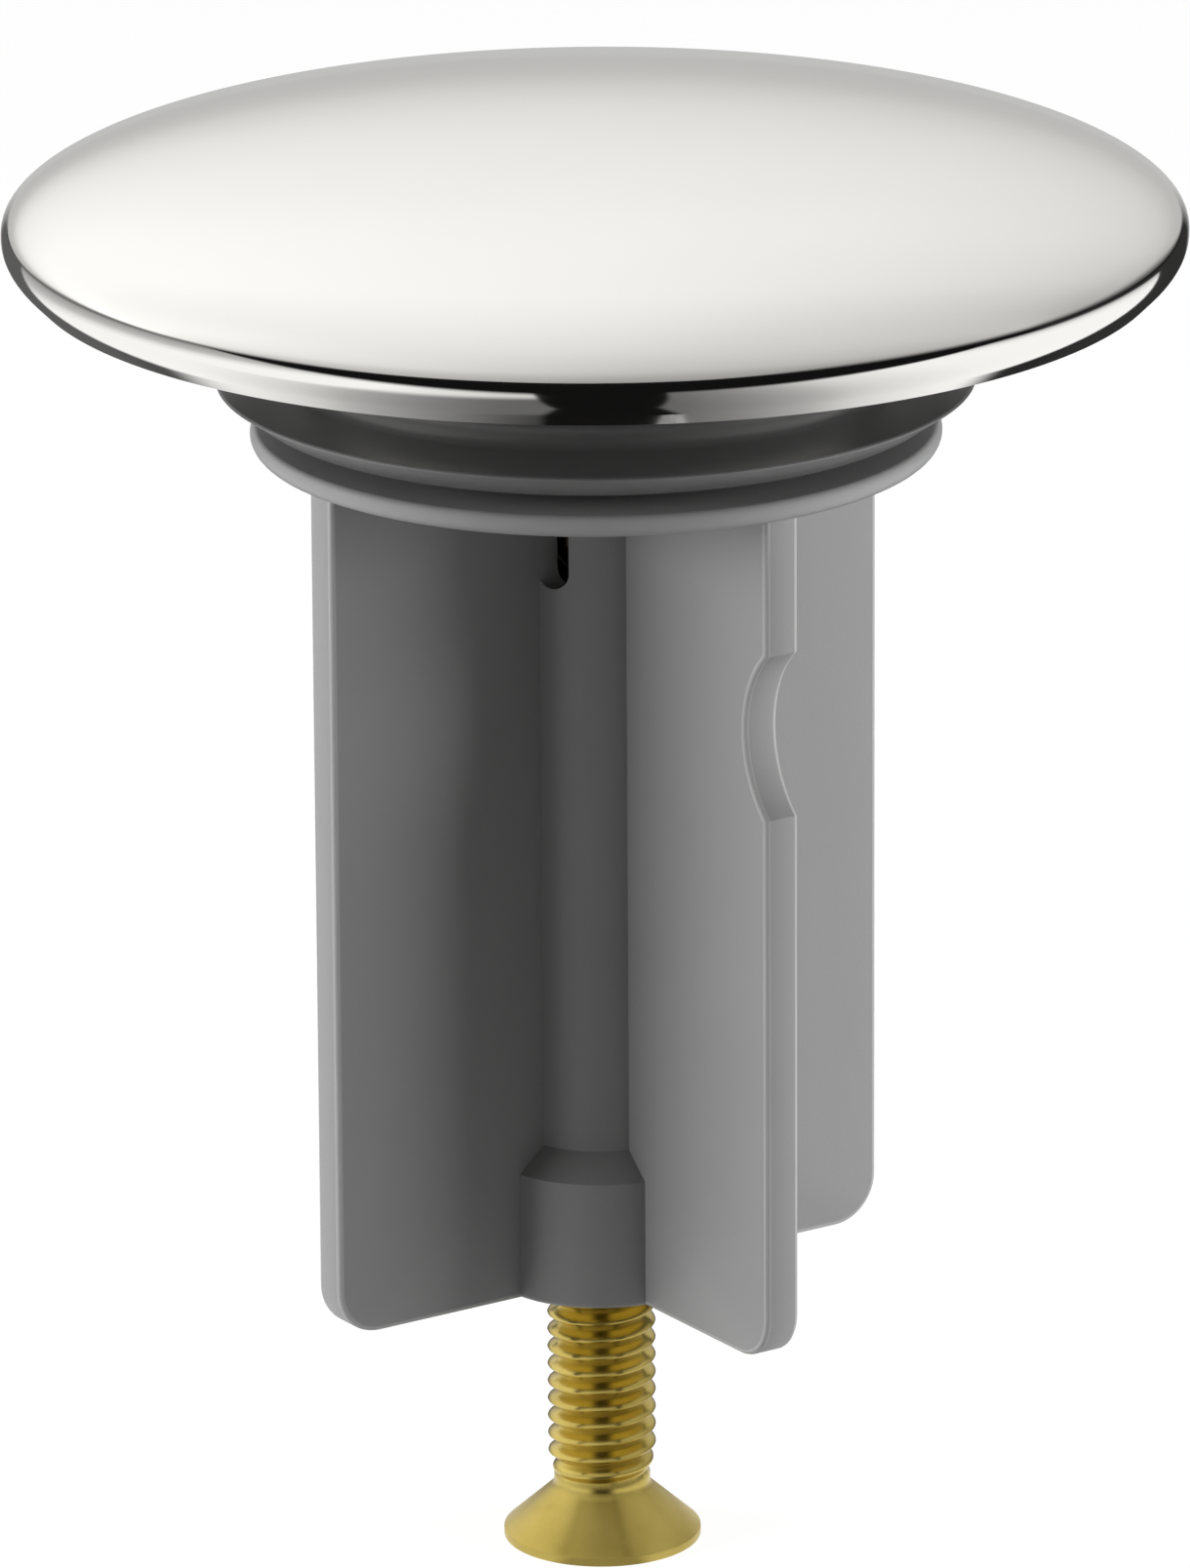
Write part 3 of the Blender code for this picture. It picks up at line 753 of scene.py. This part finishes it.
# %% [markdown]
# The materials below all start in the same way: a Principled shader, then an effect or two whose mask
# drifts the roughness and mixes two close colours. These helpers do the wiring, so that each material
# only says what its surface is like.

# %% Helpers for materials


def new_material(name, metallic, roughness):
    """A material with its Principled shader, set to a plain metallic value and roughness."""
    material = bpy.data.materials.new(name)
    material.use_nodes = True
    shader = material.node_tree.nodes["Principled BSDF"]
    shader.inputs["Metallic"].default_value = metallic
    shader.inputs["Roughness"].default_value = roughness
    return material, shader


def add_effect(material, group, **values):
    """Places a shared effect in a material, with values of its own."""
    node = material.node_tree.nodes.new("ShaderNodeGroup")
    node.node_tree = group
    for socket, value in values.items():
        node.inputs[socket].default_value = value
    return node


def vary(material, mask, low, high, target):
    """Maps a mask to the range from low to high and feeds it to a shader's number socket."""
    span = material.node_tree.nodes.new("ShaderNodeMapRange")
    span.inputs["To Min"].default_value = low
    span.inputs["To Max"].default_value = high
    material.node_tree.links.new(mask, span.inputs["Value"])
    material.node_tree.links.new(span.outputs["Result"], target)


def tint(material, mask, dark, light, target):
    """Mixes two colours by a mask and feeds the result to a shader's colour socket."""
    mix = material.node_tree.nodes.new("ShaderNodeMix")
    mix.data_type = "RGBA"
    mix.inputs["A"].default_value = (*dark, 1)
    mix.inputs["B"].default_value = (*light, 1)
    material.node_tree.links.new(mask, mix.inputs["Factor"])
    material.node_tree.links.new(mix.outputs["Result"], target)


def wear_material(obj, material):
    """Gives a piece one finish all over."""
    obj.data.materials.clear()
    obj.data.materials.append(material)
    print(obj.name, "in", material.name)


# %% [markdown]
# Polished nickel is a slightly warm mirror. Its plating isn't perfectly even, so the roughness
# wanders a little over the dome, and a very shallow, broad ripple keeps the long reflections alive.

# %% Polished nickel
NICKEL_ROUGH = (0.045, 0.085)
NICKEL_DARK = (0.90, 0.888, 0.858)
NICKEL_LIGHT = (0.93, 0.922, 0.895)

nickel, shader = new_material("polished_nickel", 1.0, 0.06)
cloud = add_effect(nickel, grain_group, Scale=90.0, Detail=2.0, Bump=0.0)
haze = add_effect(nickel, grain_group, Scale=9000.0, Detail=3.0, Bump=0.02, Height=0.000002)
vary(nickel, cloud.outputs["Mask"], *NICKEL_ROUGH, shader.inputs["Roughness"])
tint(nickel, cloud.outputs["Mask"], NICKEL_DARK, NICKEL_LIGHT, shader.inputs["Base Color"])
nickel.node_tree.links.new(haze.outputs["Normal"], shader.inputs["Normal"])
wear_material(domed_cap, nickel)

# %% [markdown]
# The seal's rubber is black with a soft grey sheen, from the mould's fine texture. The bump is a tenth
# of a millimetre across, just enough to break up the highlights along the lip. The cone that presses
# on the drain's seat, with the lower side of the lip's edge, is painted a lighter grey: a painted sheen.

# %% Black rubber
RUBBER_ROUGH = (0.28, 0.40)
RUBBER_SHEEN = 0.8
SEALING_SLOPE = -0.2


def grey(value):
    return (value, value, value)


def make_rubber(name, dark, light):
    """Rubber in a grey between dark and light."""
    rubber, shader = new_material(name, 0.0, 0.4)
    skin = add_effect(rubber, grain_group, Scale=7000.0, Detail=4.0, Bump=0.25, Height=0.00002)
    bloom = add_effect(rubber, grain_group, Scale=160.0, Detail=3.0, Bump=0.0)
    vary(rubber, bloom.outputs["Mask"], *RUBBER_ROUGH, shader.inputs["Roughness"])
    shader.inputs["Specular IOR Level"].default_value = RUBBER_SHEEN
    tint(rubber, bloom.outputs["Mask"], grey(dark), grey(light), shader.inputs["Base Color"])
    rubber.node_tree.links.new(skin.outputs["Normal"], shader.inputs["Normal"])
    return rubber


def wear_where(obj, material, chosen):
    """Gives a second finish to the faces that are chosen."""
    obj.data.materials.append(material)
    faces = [polygon for polygon in obj.data.polygons if chosen(polygon)]
    for polygon in faces:
        polygon.material_index = 1
    print(obj.name, len(faces), "faces in", material.name)


def is_sealing_face(polygon):
    """Whether a face belongs to the steep cone under the lip, or to the lower side of the lip's edge."""
    return polygon.center.xy.length / MM > LIP_BEND_RADIUS and polygon.normal.z < SEALING_SLOPE


wear_material(lip_seal, make_rubber("black_rubber", 0.045, 0.057))
# The steep cone under the lip and the lower side of the lip's edge are painted lighter: a painted sheen.
wear_where(lip_seal, make_rubber("painted_sheen_rubber", 0.11, 0.13), is_sealing_face)

# %% [markdown]
# The guide's grey plastic comes from a finely eroded mould: matte, with a tight grain. Where the
# melt flowed on, the grey shifts very slightly in broad streaks along the part. On the small rounds
# along the fins' free edges, and along the notch's, a lighter grey is painted on: a painted highlight.

# %% Grey plastic
PLASTIC_ROUGH = (0.40, 0.50)
EDGE_CLEARANCE = 0.1
EDGE_NORMAL_LOW = 0.1
EDGE_NORMAL_HIGH = 0.99


def make_plastic(name, dark, light):
    """Plastic in a grey between dark and light."""
    plastic, shader = new_material(name, 0.0, 0.45)
    eroded = add_effect(plastic, grain_group, Scale=6500.0, Detail=5.0, Bump=0.3, Height=0.000025)
    flow = add_effect(plastic, grain_group, Scale=120.0, Detail=3.0, Bump=0.0)
    vary(plastic, flow.outputs["Mask"], *PLASTIC_ROUGH, shader.inputs["Roughness"])
    tint(plastic, flow.outputs["Mask"], grey(dark), grey(light), shader.inputs["Base Color"])
    plastic.node_tree.links.new(eroded.outputs["Normal"], shader.inputs["Normal"])
    return plastic


def is_fin_edge(polygon):
    """Whether a face belongs to the small round along a fin's free edge."""
    place = polygon.center / MM
    outwards, thickness = (0, 1) if abs(place.x) > abs(place.y) else (1, 0)
    if abs(place[outwards]) < COLLAR_RADIUS + EDGE_CLEARANCE or place.z > FLANGE_UNDER:
        return False
    return EDGE_NORMAL_LOW < abs(polygon.normal[thickness]) < EDGE_NORMAL_HIGH


wear_material(finned_guide, make_plastic("grey_plastic", 0.212, 0.232))
# The lighter grey on the rounds of the fins' free edges is a painted highlight.
wear_where(finned_guide, make_plastic("painted_highlight_plastic", 0.30, 0.33), is_fin_edge)

# %% [markdown]
# The brass is turned and rolled and left bare. Its fine grooves run round the axis, so a highlight is
# drawn out across them and becomes a streak along the screw, which the anisotropic setting gives. A
# slight tarnish deepens the yellow in patches, and the head is turned coarser than the thread. The
# stem inside the tube is painted nearly black: painted shade for the dark inside the tube.
#
# From here on some values are worked out between nodes, first for the head's coarser finish and then
# for the studio. Each sum is a node of its own, so a small class gives them short names.

# %% Sums between nodes


class Wiring:
    """Short calls for the sums that nodes make."""

    def __init__(self, tree):
        self.tree = tree

    def put(self, socket, value):
        """Feeds a socket from another socket, or sets it to a number."""
        if hasattr(value, "is_linked"):
            self.tree.links.new(value, socket)
        else:
            socket.default_value = value

    def math(self, operation, first, second=0.0, clamp=False):
        """A sum of two values."""
        node = self.tree.nodes.new("ShaderNodeMath")
        node.operation = operation
        node.use_clamp = clamp
        self.put(node.inputs[0], first)
        self.put(node.inputs[1], second)
        return node.outputs["Value"]

    def along(self, direction, axis):
        """How far a direction or a place reaches along an axis."""
        node = self.tree.nodes.new("ShaderNodeVectorMath")
        node.operation = "DOT_PRODUCT"
        self.put(node.inputs[0], direction)
        node.inputs[1].default_value = axis
        return node.outputs["Value"]

    def smooth(self, value, low, high, at_low=0.0, at_high=1.0):
        """A soft step from one number to another, while the value goes from low to high."""
        node = self.tree.nodes.new("ShaderNodeMapRange")
        node.interpolation_type = "SMOOTHSTEP"
        self.put(node.inputs["Value"], value)
        node.inputs["From Min"].default_value = low
        node.inputs["From Max"].default_value = high
        node.inputs["To Min"].default_value = at_low
        node.inputs["To Max"].default_value = at_high
        return node.outputs["Result"]

    def blend(self, first, second, share):
        """The first value where the share is 0, and the second where it is 1."""
        node = self.tree.nodes.new("ShaderNodeMix")
        self.put(node.inputs["Factor"], share)
        self.put(node.inputs["A"], first)
        self.put(node.inputs["B"], second)
        return node.outputs["Result"]

    def length(self, first, second):
        """The length of a step that goes first along one axis and then along the other."""
        squares = self.math("ADD", self.math("MULTIPLY", first, first), self.math("MULTIPLY", second, second))
        return self.math("SQRT", squares)

    def ramp(self, value, stops, top):
        """A curve through (position, brightness) stops, none of them brighter than the top."""
        node = self.tree.nodes.new("ShaderNodeFloatCurve")
        curve = node.mapping.curves[0]
        while len(curve.points) < len(stops):
            curve.points.new(0.5, 0.5)
        for point, (position, brightness) in zip(curve.points, stops):
            point.location = (position, brightness / top)
            point.handle_type = "AUTO_CLAMPED"
        node.mapping.update()
        self.put(node.inputs["Value"], value)
        return self.math("MULTIPLY", node.outputs["Value"], top)


print("sums", [name for name in vars(Wiring) if not name.startswith("_")])

# %% Turned brass
GROOVE_STREAK = 0.8
GROOVE_TURN = 0.25
HEAD_ROUGHER = 1.6


def make_brass(name, rough, dark, light):
    """Brass whose roughness drifts round a middle value, between a dark and a light yellow."""
    brass, shader = new_material(name, 1.0, rough)
    marks = add_effect(brass, turning_group, Scale=9000.0, Bump=0.2, Height=0.00001)
    tarnish = add_effect(brass, grain_group, Scale=320.0, Detail=3.0, Bump=0.0)
    place = brass.node_tree.nodes.new("ShaderNodeTexCoord")
    parts = brass.node_tree.nodes.new("ShaderNodeSeparateXYZ")
    brass.node_tree.links.new(place.outputs["Object"], parts.inputs["Vector"])
    wiring = Wiring(brass.node_tree)
    coarse = wiring.smooth(parts.outputs["Z"], cone_top * MM, thread_low * MM, HEAD_ROUGHER, 1.0)
    spread = wiring.math("ADD", wiring.math("MULTIPLY", tarnish.outputs["Mask"], rough * 0.5), rough * 0.75)
    wiring.put(shader.inputs["Roughness"], wiring.math("MULTIPLY", spread, coarse))
    tint(brass, tarnish.outputs["Mask"], dark, light, shader.inputs["Base Color"])
    grooves = brass.node_tree.nodes.new("ShaderNodeTangent")
    grooves.direction_type = "RADIAL"
    grooves.axis = "Z"
    shader.inputs["Anisotropic"].default_value = GROOVE_STREAK
    shader.inputs["Anisotropic Rotation"].default_value = GROOVE_TURN
    brass.node_tree.links.new(grooves.outputs["Tangent"], shader.inputs["Tangent"])
    brass.node_tree.links.new(marks.outputs["Normal"], shader.inputs["Normal"])
    return brass


bright_brass = make_brass("turned_brass", 0.24, (0.40, 0.29, 0.05), (0.82, 0.66, 0.20))
# The stem's brass is painted nearly black: painted shade for the inside of the tube.
shaded_stem_brass = make_brass("shaded_stem_brass", 0.5, (0.06, 0.05, 0.03), (0.09, 0.075, 0.045))
wear_material(brass_screw, bright_brass)
wear_material(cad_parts["thread_insert"], bright_brass)
wear_material(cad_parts["cap_stem"], shaded_stem_brass)

# %% [markdown]
# The studio is a light tent round the plug: a broad pale diffuser overhead and behind, a white table
# that lights it from below, and a dark gap in front, where the lens looks in. The polished cap
# mirrors all of it, so the tent is painted on the world by direction. The direction is split into
# three parts: up, to the side and towards the lens. Their ramps give the brightness.

# %% World
world = bpy.data.worlds.new("studio")
bpy.context.scene.world = world
world.use_nodes = True
wiring = Wiring(world.node_tree)
background = world.node_tree.nodes["Background"]
direction = world.node_tree.nodes.new("ShaderNodeTexCoord").outputs["Generated"]
rise = wiring.along(direction, (0, 0, 1))
ahead = wiring.along(direction, towards_camera)
aside = wiring.along(direction, camera_right)

# %% [markdown]
# The tent overhead is brightest low at the back and fades towards the lens. It is also brighter on
# the left than on the right, more so in front than at the back. Each of these is a curve: one over the
# angle from the back horizon across the top to the front, and two over the side.

# %% The tent overhead
TENT_TOP = 1.0
TENT = [(0.0, 0.54), (0.022, 0.556), (0.05, 0.684), (0.083, 0.841), (0.117, 0.916), (0.155, 0.962)]
TENT += [(0.206, 0.965), (0.267, 0.913), (0.344, 0.845), (0.428, 0.789), (0.511, 0.728), (0.594, 0.683)]
TENT += [(0.678, 0.644), (0.761, 0.600), (0.85, 0.50), (0.95, 0.41), (1.0, 0.38)]
SIDE_TOP = 1.5
SIDE_BEHIND = [(0.0, 1.25), (0.12, 1.16), (0.26, 1.12), (0.41, 1.09), (0.5, 1.0), (0.585, 0.86)]
SIDE_BEHIND += [(0.665, 0.77), (0.74, 0.71), (0.81, 0.64), (0.885, 0.56), (1.0, 0.45)]
SIDE_FRONT = [(0.0, 1.45), (0.12, 1.38), (0.26, 1.25), (0.335, 1.16), (0.415, 1.08), (0.5, 1.0)]
SIDE_FRONT += [(0.585, 0.94), (0.665, 0.91), (0.81, 0.87), (1.0, 0.82)]
LOW_LEVEL = 0.95
LOW_SPAN = (0.015, 0.07)
FRONT_SPAN = (0.2, 0.56)

over = wiring.math("DIVIDE", wiring.math("ARCTAN2", rise, wiring.math("MULTIPLY", ahead, -1.0)), math.pi)
tent = wiring.ramp(over, TENT, TENT_TOP)
side_share = wiring.math("MULTIPLY", wiring.math("ADD", aside, 1.0), 0.5)
side_behind = wiring.ramp(side_share, SIDE_BEHIND, SIDE_TOP)
side_front = wiring.ramp(side_share, SIDE_FRONT, SIDE_TOP)
side = wiring.blend(side_behind, side_front, wiring.smooth(over, *FRONT_SPAN))
side = wiring.blend(LOW_LEVEL, side, wiring.smooth(over, *LOW_SPAN))
overhead = wiring.math("MULTIPLY", tent, side)
print("tent from", TENT[0][1], "behind to", TENT[-1][1], "in front")

# %% [markdown]
# Where the tent ends, low down, the metal sees a room that is nearly black, a little paler on the
# left. It darkens the rim of the cap. The change from room to tent is sharp in front and soft at the
# two sides, so that the rim's dark line is thin in the middle and fades out broadly at its ends.
# Straight behind the plug a backdrop reaches down to the table, so the room takes the tent's own
# lowest level there.

# %% The horizon and the dark room
ROOM = 0.006
ROOM_LEFT = 0.15
HORIZON_SHARP = 0.02
HORIZON_SOFT_LEFT = 0.11
HORIZON_SOFT_RIGHT = 0.28
HORIZON_LIFT = 0.01
RIGHT_SPAN = (0.3, 0.8)
LEFT_SPAN = (-0.9, -0.6)
ROOM_SPAN = (-0.8, -0.3)
BEHIND_SPAN = (-0.97, -0.91)

softness = wiring.smooth(aside, *RIGHT_SPAN, HORIZON_SHARP, HORIZON_SOFT_RIGHT)
softness = wiring.math("ADD", softness, wiring.smooth(aside, *LEFT_SPAN, HORIZON_SOFT_LEFT, 0.0))
height = wiring.math("DIVIDE", wiring.math("ADD", rise, HORIZON_LIFT), softness)
room = wiring.smooth(aside, *ROOM_SPAN, ROOM_LEFT, ROOM)
room = wiring.blend(room, TENT[0][1], wiring.smooth(ahead, *BEHIND_SPAN, 1.0, 0.0))
studio = wiring.blend(room, overhead, wiring.smooth(height, 0.0, 1.0))
print("room", ROOM, "and on the left", ROOM_LEFT)

# %% [markdown]
# Only the mirrors need the painted tent at its full strength. The plastic takes its light from lamps,
# which shape it better, so its diffuse rays see a small share of the tent. The lens sees plain white.

# %% Background and fill
STUDIO_FILL = 0.04
STUDIO_TINT = (1.0, 0.995, 0.985, 1)
BACKGROUND_WHITE = 1.0

path = world.node_tree.nodes.new("ShaderNodeLightPath")
weak = wiring.math("MULTIPLY", studio, STUDIO_FILL)
brightness = wiring.blend(studio, weak, path.outputs["Is Diffuse Ray"])
brightness = wiring.blend(brightness, BACKGROUND_WHITE, path.outputs["Is Camera Ray"])
background.inputs["Color"].default_value = STUDIO_TINT
wiring.put(background.inputs["Strength"], brightness)
print("world nodes", len(world.node_tree.nodes))

# %% [markdown]
# Two broad, low lamps stand left and right of the plug and give the plastic its form: the side faces
# of the fins turn light and the corners by the tube stay dark. The lamps aren't seen in mirrors,
# because the painted tent already stands for them there.

# %% Lamps
LAMP_DISTANCE = 0.55
LAMP_WIDTH = 0.44
LAMP_HEIGHT = 0.22
LAMPS = {"lamp_left": (-82, 6, 4.7), "lamp_right": (81, 6, 4.6)}

for name, (turn, height, power) in LAMPS.items():
    lamp_data = bpy.data.lights.new(name, "AREA")
    lamp_data.shape = "RECTANGLE"
    lamp_data.size = LAMP_WIDTH
    lamp_data.size_y = LAMP_HEIGHT
    lamp_data.energy = power
    lamp = bpy.data.objects.new(name, lamp_data)
    bpy.context.scene.collection.objects.link(lamp)
    angle = CAMERA_AZIMUTH + math.radians(turn)
    lift = math.radians(height)
    outwards = Vector((math.sin(angle) * math.cos(lift), -math.cos(angle) * math.cos(lift), math.sin(lift)))
    lamp.location = Vector((0, 0, AIM_HEIGHT)) + outwards * LAMP_DISTANCE
    lamp.rotation_mode = "QUATERNION"
    lamp.rotation_quaternion = outwards.to_track_quat("Z", "Y")
    lamp.visible_glossy = False
    print(name, [round(value, 3) for value in lamp.location], power, "W")

# %% [markdown]
# The floor is a plain, pale square. Its paint has no gloss and glows by itself, with a strength that
# depends on the kind of ray that meets it: to the lens it is white, with a breath of shadow under the
# screw's head, to the plastic it is an ordinary pale table, and what the metal sees is painted below.

# %% Floor
FLOOR_SIZE = 6.0
FLOOR_ROUGH = 0.9

bm = bmesh.new()
bmesh.ops.create_grid(bm, x_segments=1, y_segments=1, size=FLOOR_SIZE / 2)
floor_mesh = bpy.data.meshes.new("floor")
bm.to_mesh(floor_mesh)
bm.free()
floor = bpy.data.objects.new("floor", floor_mesh)
bpy.context.scene.collection.objects.link(floor)
floor_paint, shader = new_material("floor_paint", 0.0, FLOOR_ROUGH)
shader.inputs["Specular IOR Level"].default_value = 0.0
shader.inputs["Emission Color"].default_value = (1, 1, 1, 1)
wear_material(floor, floor_paint)
print("floor", FLOOR_SIZE, "m wide")

# %% [markdown]
# To the polished metal the floor is the table of the studio: a white card on each side, with a dark
# gap between them and a grey backdrop behind. The side of the cap mirrors the cards, and the gap
# shows as the dark middle of its lower band. The cards brighten like a fan that opens from a point
# behind the plug, from dim at the gap to white at the sides. On the left a bar of light lies in front.
# All of it is worked out in metres from the plug's axis: forward to the lens, and across.

# %% The cards in the mirror
MIDDLE_SPAN = (-0.01, 0.01)
LEAST = 0.001
FAN_START = -0.077
FAN_REACH = 1.6
FAN_TOP = 1.05
FAN = [(0.0, 0.13), (0.075, 0.14), (0.12, 0.19), (0.22, 0.38), (0.38, 0.77), (0.63, 0.97), (1.0, 1.0)]
FAN_ON_LEFT = 0.85
BAR_SLANT = 0.65
BAR_SPAN = (0.085, 0.13)
BAR_GLOW = 0.55

wiring = Wiring(floor_paint.node_tree)
place = floor_paint.node_tree.nodes.new("ShaderNodeTexCoord").outputs["Object"]
forward = wiring.along(place, towards_camera)
across = wiring.along(place, camera_right)
reach = wiring.math("ABSOLUTE", across)
on_left = wiring.smooth(across, *MIDDLE_SPAN, 1.0, 0.0)


def by_side(left, right):
    """One value on the left of the plug and another on its right."""
    return wiring.blend(right, left, on_left)


def slanted(share):
    """Forward, plus a share of the distance to the side."""
    return wiring.math("ADD", forward, wiring.math("MULTIPLY", reach, share))


opening = wiring.math("MAXIMUM", wiring.math("SUBTRACT", forward, FAN_START), LEAST)
fan = wiring.math("DIVIDE", reach, wiring.math("MULTIPLY", opening, FAN_REACH))
fan = wiring.math("MULTIPLY", fan, by_side(FAN_ON_LEFT, 1.0), clamp=True)
bar = wiring.math("MULTIPLY", wiring.smooth(slanted(BAR_SLANT), *BAR_SPAN, 0.0, BAR_GLOW), on_left)
card = wiring.math("MINIMUM", wiring.math("ADD", wiring.ramp(fan, FAN, FAN_TOP), bar), 1.0)
print("cards from", FAN[0][1], "at the gap to", FAN[-1][1], "at the sides")

# %% [markdown]
# A card has edges. Its front and back edges run at a slant, each side with its own, and its light
# fades with the distance from the plug. Each of these is a mask from 0 to 1 that the card's
# brightness is multiplied by. The gap in the middle is a mask too, and it widens towards the lens.

# %% The edges of the cards
FRONT_LEFT_SLANT = -0.15
FRONT_LEFT_SPAN = (0.105, 0.16)
FRONT_RIGHT_SLANT = 0.03
FRONT_RIGHT_SPAN = (0.125, 0.165)
BACK_LEFT_SLANT = 1.25
BACK_LEFT_SPAN = (0.009, 0.033)
BACK_RIGHT_SLANT = 1.0
BACK_RIGHT_SPAN = (0.006, 0.018)
FADE_REACH = 1.5
FADE_LEFT = [(0.0, 1.0), (0.1, 1.0), (0.12, 0.92), (0.147, 0.78), (0.18, 0.6), (0.25, 0.48)]
FADE_LEFT += [(0.35, 0.42), (0.6, 0.32), (1.0, 0.2)]
FADE_RIGHT_SPAN = (0.2, 0.8)
GAP_MIDDLE = 0.0022
GAP_HALF = 0.0093
GAP_FLARE = 0.2
GAP_FLARE_START = 0.04
GAP_EDGE_SPAN = (-0.0005, 0.0015)

front_edge = by_side(
    wiring.smooth(slanted(FRONT_LEFT_SLANT), *FRONT_LEFT_SPAN, 1.0, 0.0),
    wiring.smooth(slanted(FRONT_RIGHT_SLANT), *FRONT_RIGHT_SPAN, 1.0, 0.0),
)
back_edge = by_side(
    wiring.smooth(slanted(BACK_LEFT_SLANT), *BACK_LEFT_SPAN),
    wiring.smooth(slanted(BACK_RIGHT_SLANT), *BACK_RIGHT_SPAN),
)
distance = wiring.length(forward, across)
fade = by_side(
    wiring.ramp(wiring.math("DIVIDE", distance, FADE_REACH, clamp=True), FADE_LEFT, 1.0),
    wiring.smooth(distance, *FADE_RIGHT_SPAN, 1.0, 0.0),
)
flare = wiring.math("MAXIMUM", wiring.math("SUBTRACT", forward, GAP_FLARE_START), 0.0)
gap_half = wiring.math("ADD", wiring.math("MULTIPLY", flare, GAP_FLARE), GAP_HALF)
off_gap = wiring.math("ABSOLUTE", wiring.math("SUBTRACT", across, GAP_MIDDLE))
gap_edge = wiring.smooth(wiring.math("SUBTRACT", off_gap, gap_half), *GAP_EDGE_SPAN)
for mask in (front_edge, back_edge, fade, gap_edge):
    card = wiring.math("MULTIPLY", card, mask)
print("gap", round(2 * GAP_HALF / MM, 1), "mm wide")

# %% [markdown]
# What is left of the table is dark, but not all of it. Behind the plug stands the grey backdrop, as
# a narrow wedge of the view, and between it and the cards the room's light still reaches a little.
# The brightest of the three is what the metal mirrors.

# %% The backdrop and the rest of the table
BACKDROP_GREY = 0.54
BACKDROP_SPAN = (-0.28, -0.22)
BACKDROP_TURN = (0.2, 0.45)
WEDGE_LEFT = 0.11
WEDGE_RIGHT = 0.03
WEDGE_SPAN = (-0.1, 0.0)

turned = wiring.math("DIVIDE", reach, wiring.math("MAXIMUM", wiring.math("ABSOLUTE", forward), LEAST))
backdrop = wiring.smooth(forward, *BACKDROP_SPAN, BACKDROP_GREY, 0.0)
backdrop = wiring.math("MULTIPLY", backdrop, wiring.smooth(turned, *BACKDROP_TURN, 1.0, 0.0))
wedge = by_side(
    wiring.smooth(forward, *WEDGE_SPAN, WEDGE_LEFT, ROOM),
    wiring.smooth(forward, *WEDGE_SPAN, WEDGE_RIGHT, ROOM),
)
mirrored = wiring.math("MAXIMUM", wiring.math("MAXIMUM", card, backdrop), wedge)
print("backdrop", BACKDROP_GREY, "beside it", WEDGE_LEFT, "and", WEDGE_RIGHT)

# %% [markdown]
# The screw stands so close to the table that it mirrors another part of it than the cap does. A ray
# that is still short when it meets the floor comes from the screw, so its length tells the two
# apart. The screw sees the table light to the sides and dark before and behind it, which keeps its
# flanks bright beside a deeper middle. Where it nearly touches the table it sees a mid grey.

# %% The table close to the screw
NEAR_RAY = (0.04, 0.052)
NEAR_TURN = (0.15, 0.7)
NEAR_WHITE = 0.95
NEAR_DARK = 0.04
TOUCHING_RAY = (0.004, 0.008)
TOUCHING_GLOW = 0.45

path = floor_paint.node_tree.nodes.new("ShaderNodeLightPath")
ray_length = path.outputs["Ray Length"]
near_light = wiring.smooth(turned, *NEAR_TURN, NEAR_DARK, NEAR_WHITE)
touching = wiring.smooth(ray_length, *TOUCHING_RAY, TOUCHING_GLOW, 0.0)
near_light = wiring.math("MAXIMUM", near_light, touching)
mirrored = wiring.blend(mirrored, near_light, wiring.smooth(ray_length, *NEAR_RAY, 1.0, 0.0))
print("near rays end at", NEAR_RAY[0], "m")

# %% What each kind of ray sees of the floor
FLOOR_WHITE = 0.9
FLOOR_PAINT = 0.8
FLOOR_SHADOW_SHARE = 0.25

to_lens = wiring.math("MULTIPLY", path.outputs["Is Camera Ray"], FLOOR_WHITE)
to_metal = wiring.math("MULTIPLY", path.outputs["Is Glossy Ray"], mirrored)
wiring.put(shader.inputs["Emission Strength"], wiring.math("ADD", to_lens, to_metal))
paint = wiring.blend(FLOOR_PAINT, FLOOR_SHADOW_SHARE, path.outputs["Is Camera Ray"])
paint = wiring.blend(paint, 0.0, path.outputs["Is Glossy Ray"])
wiring.put(shader.inputs["Base Color"], paint)
print("floor nodes", len(floor_paint.node_tree.nodes))

# %% [markdown]
# The picture keeps plain colours: the Standard view shows a surface about as its colour is written.

# %% Look of the picture
bpy.context.scene.view_settings.view_transform = "Standard"
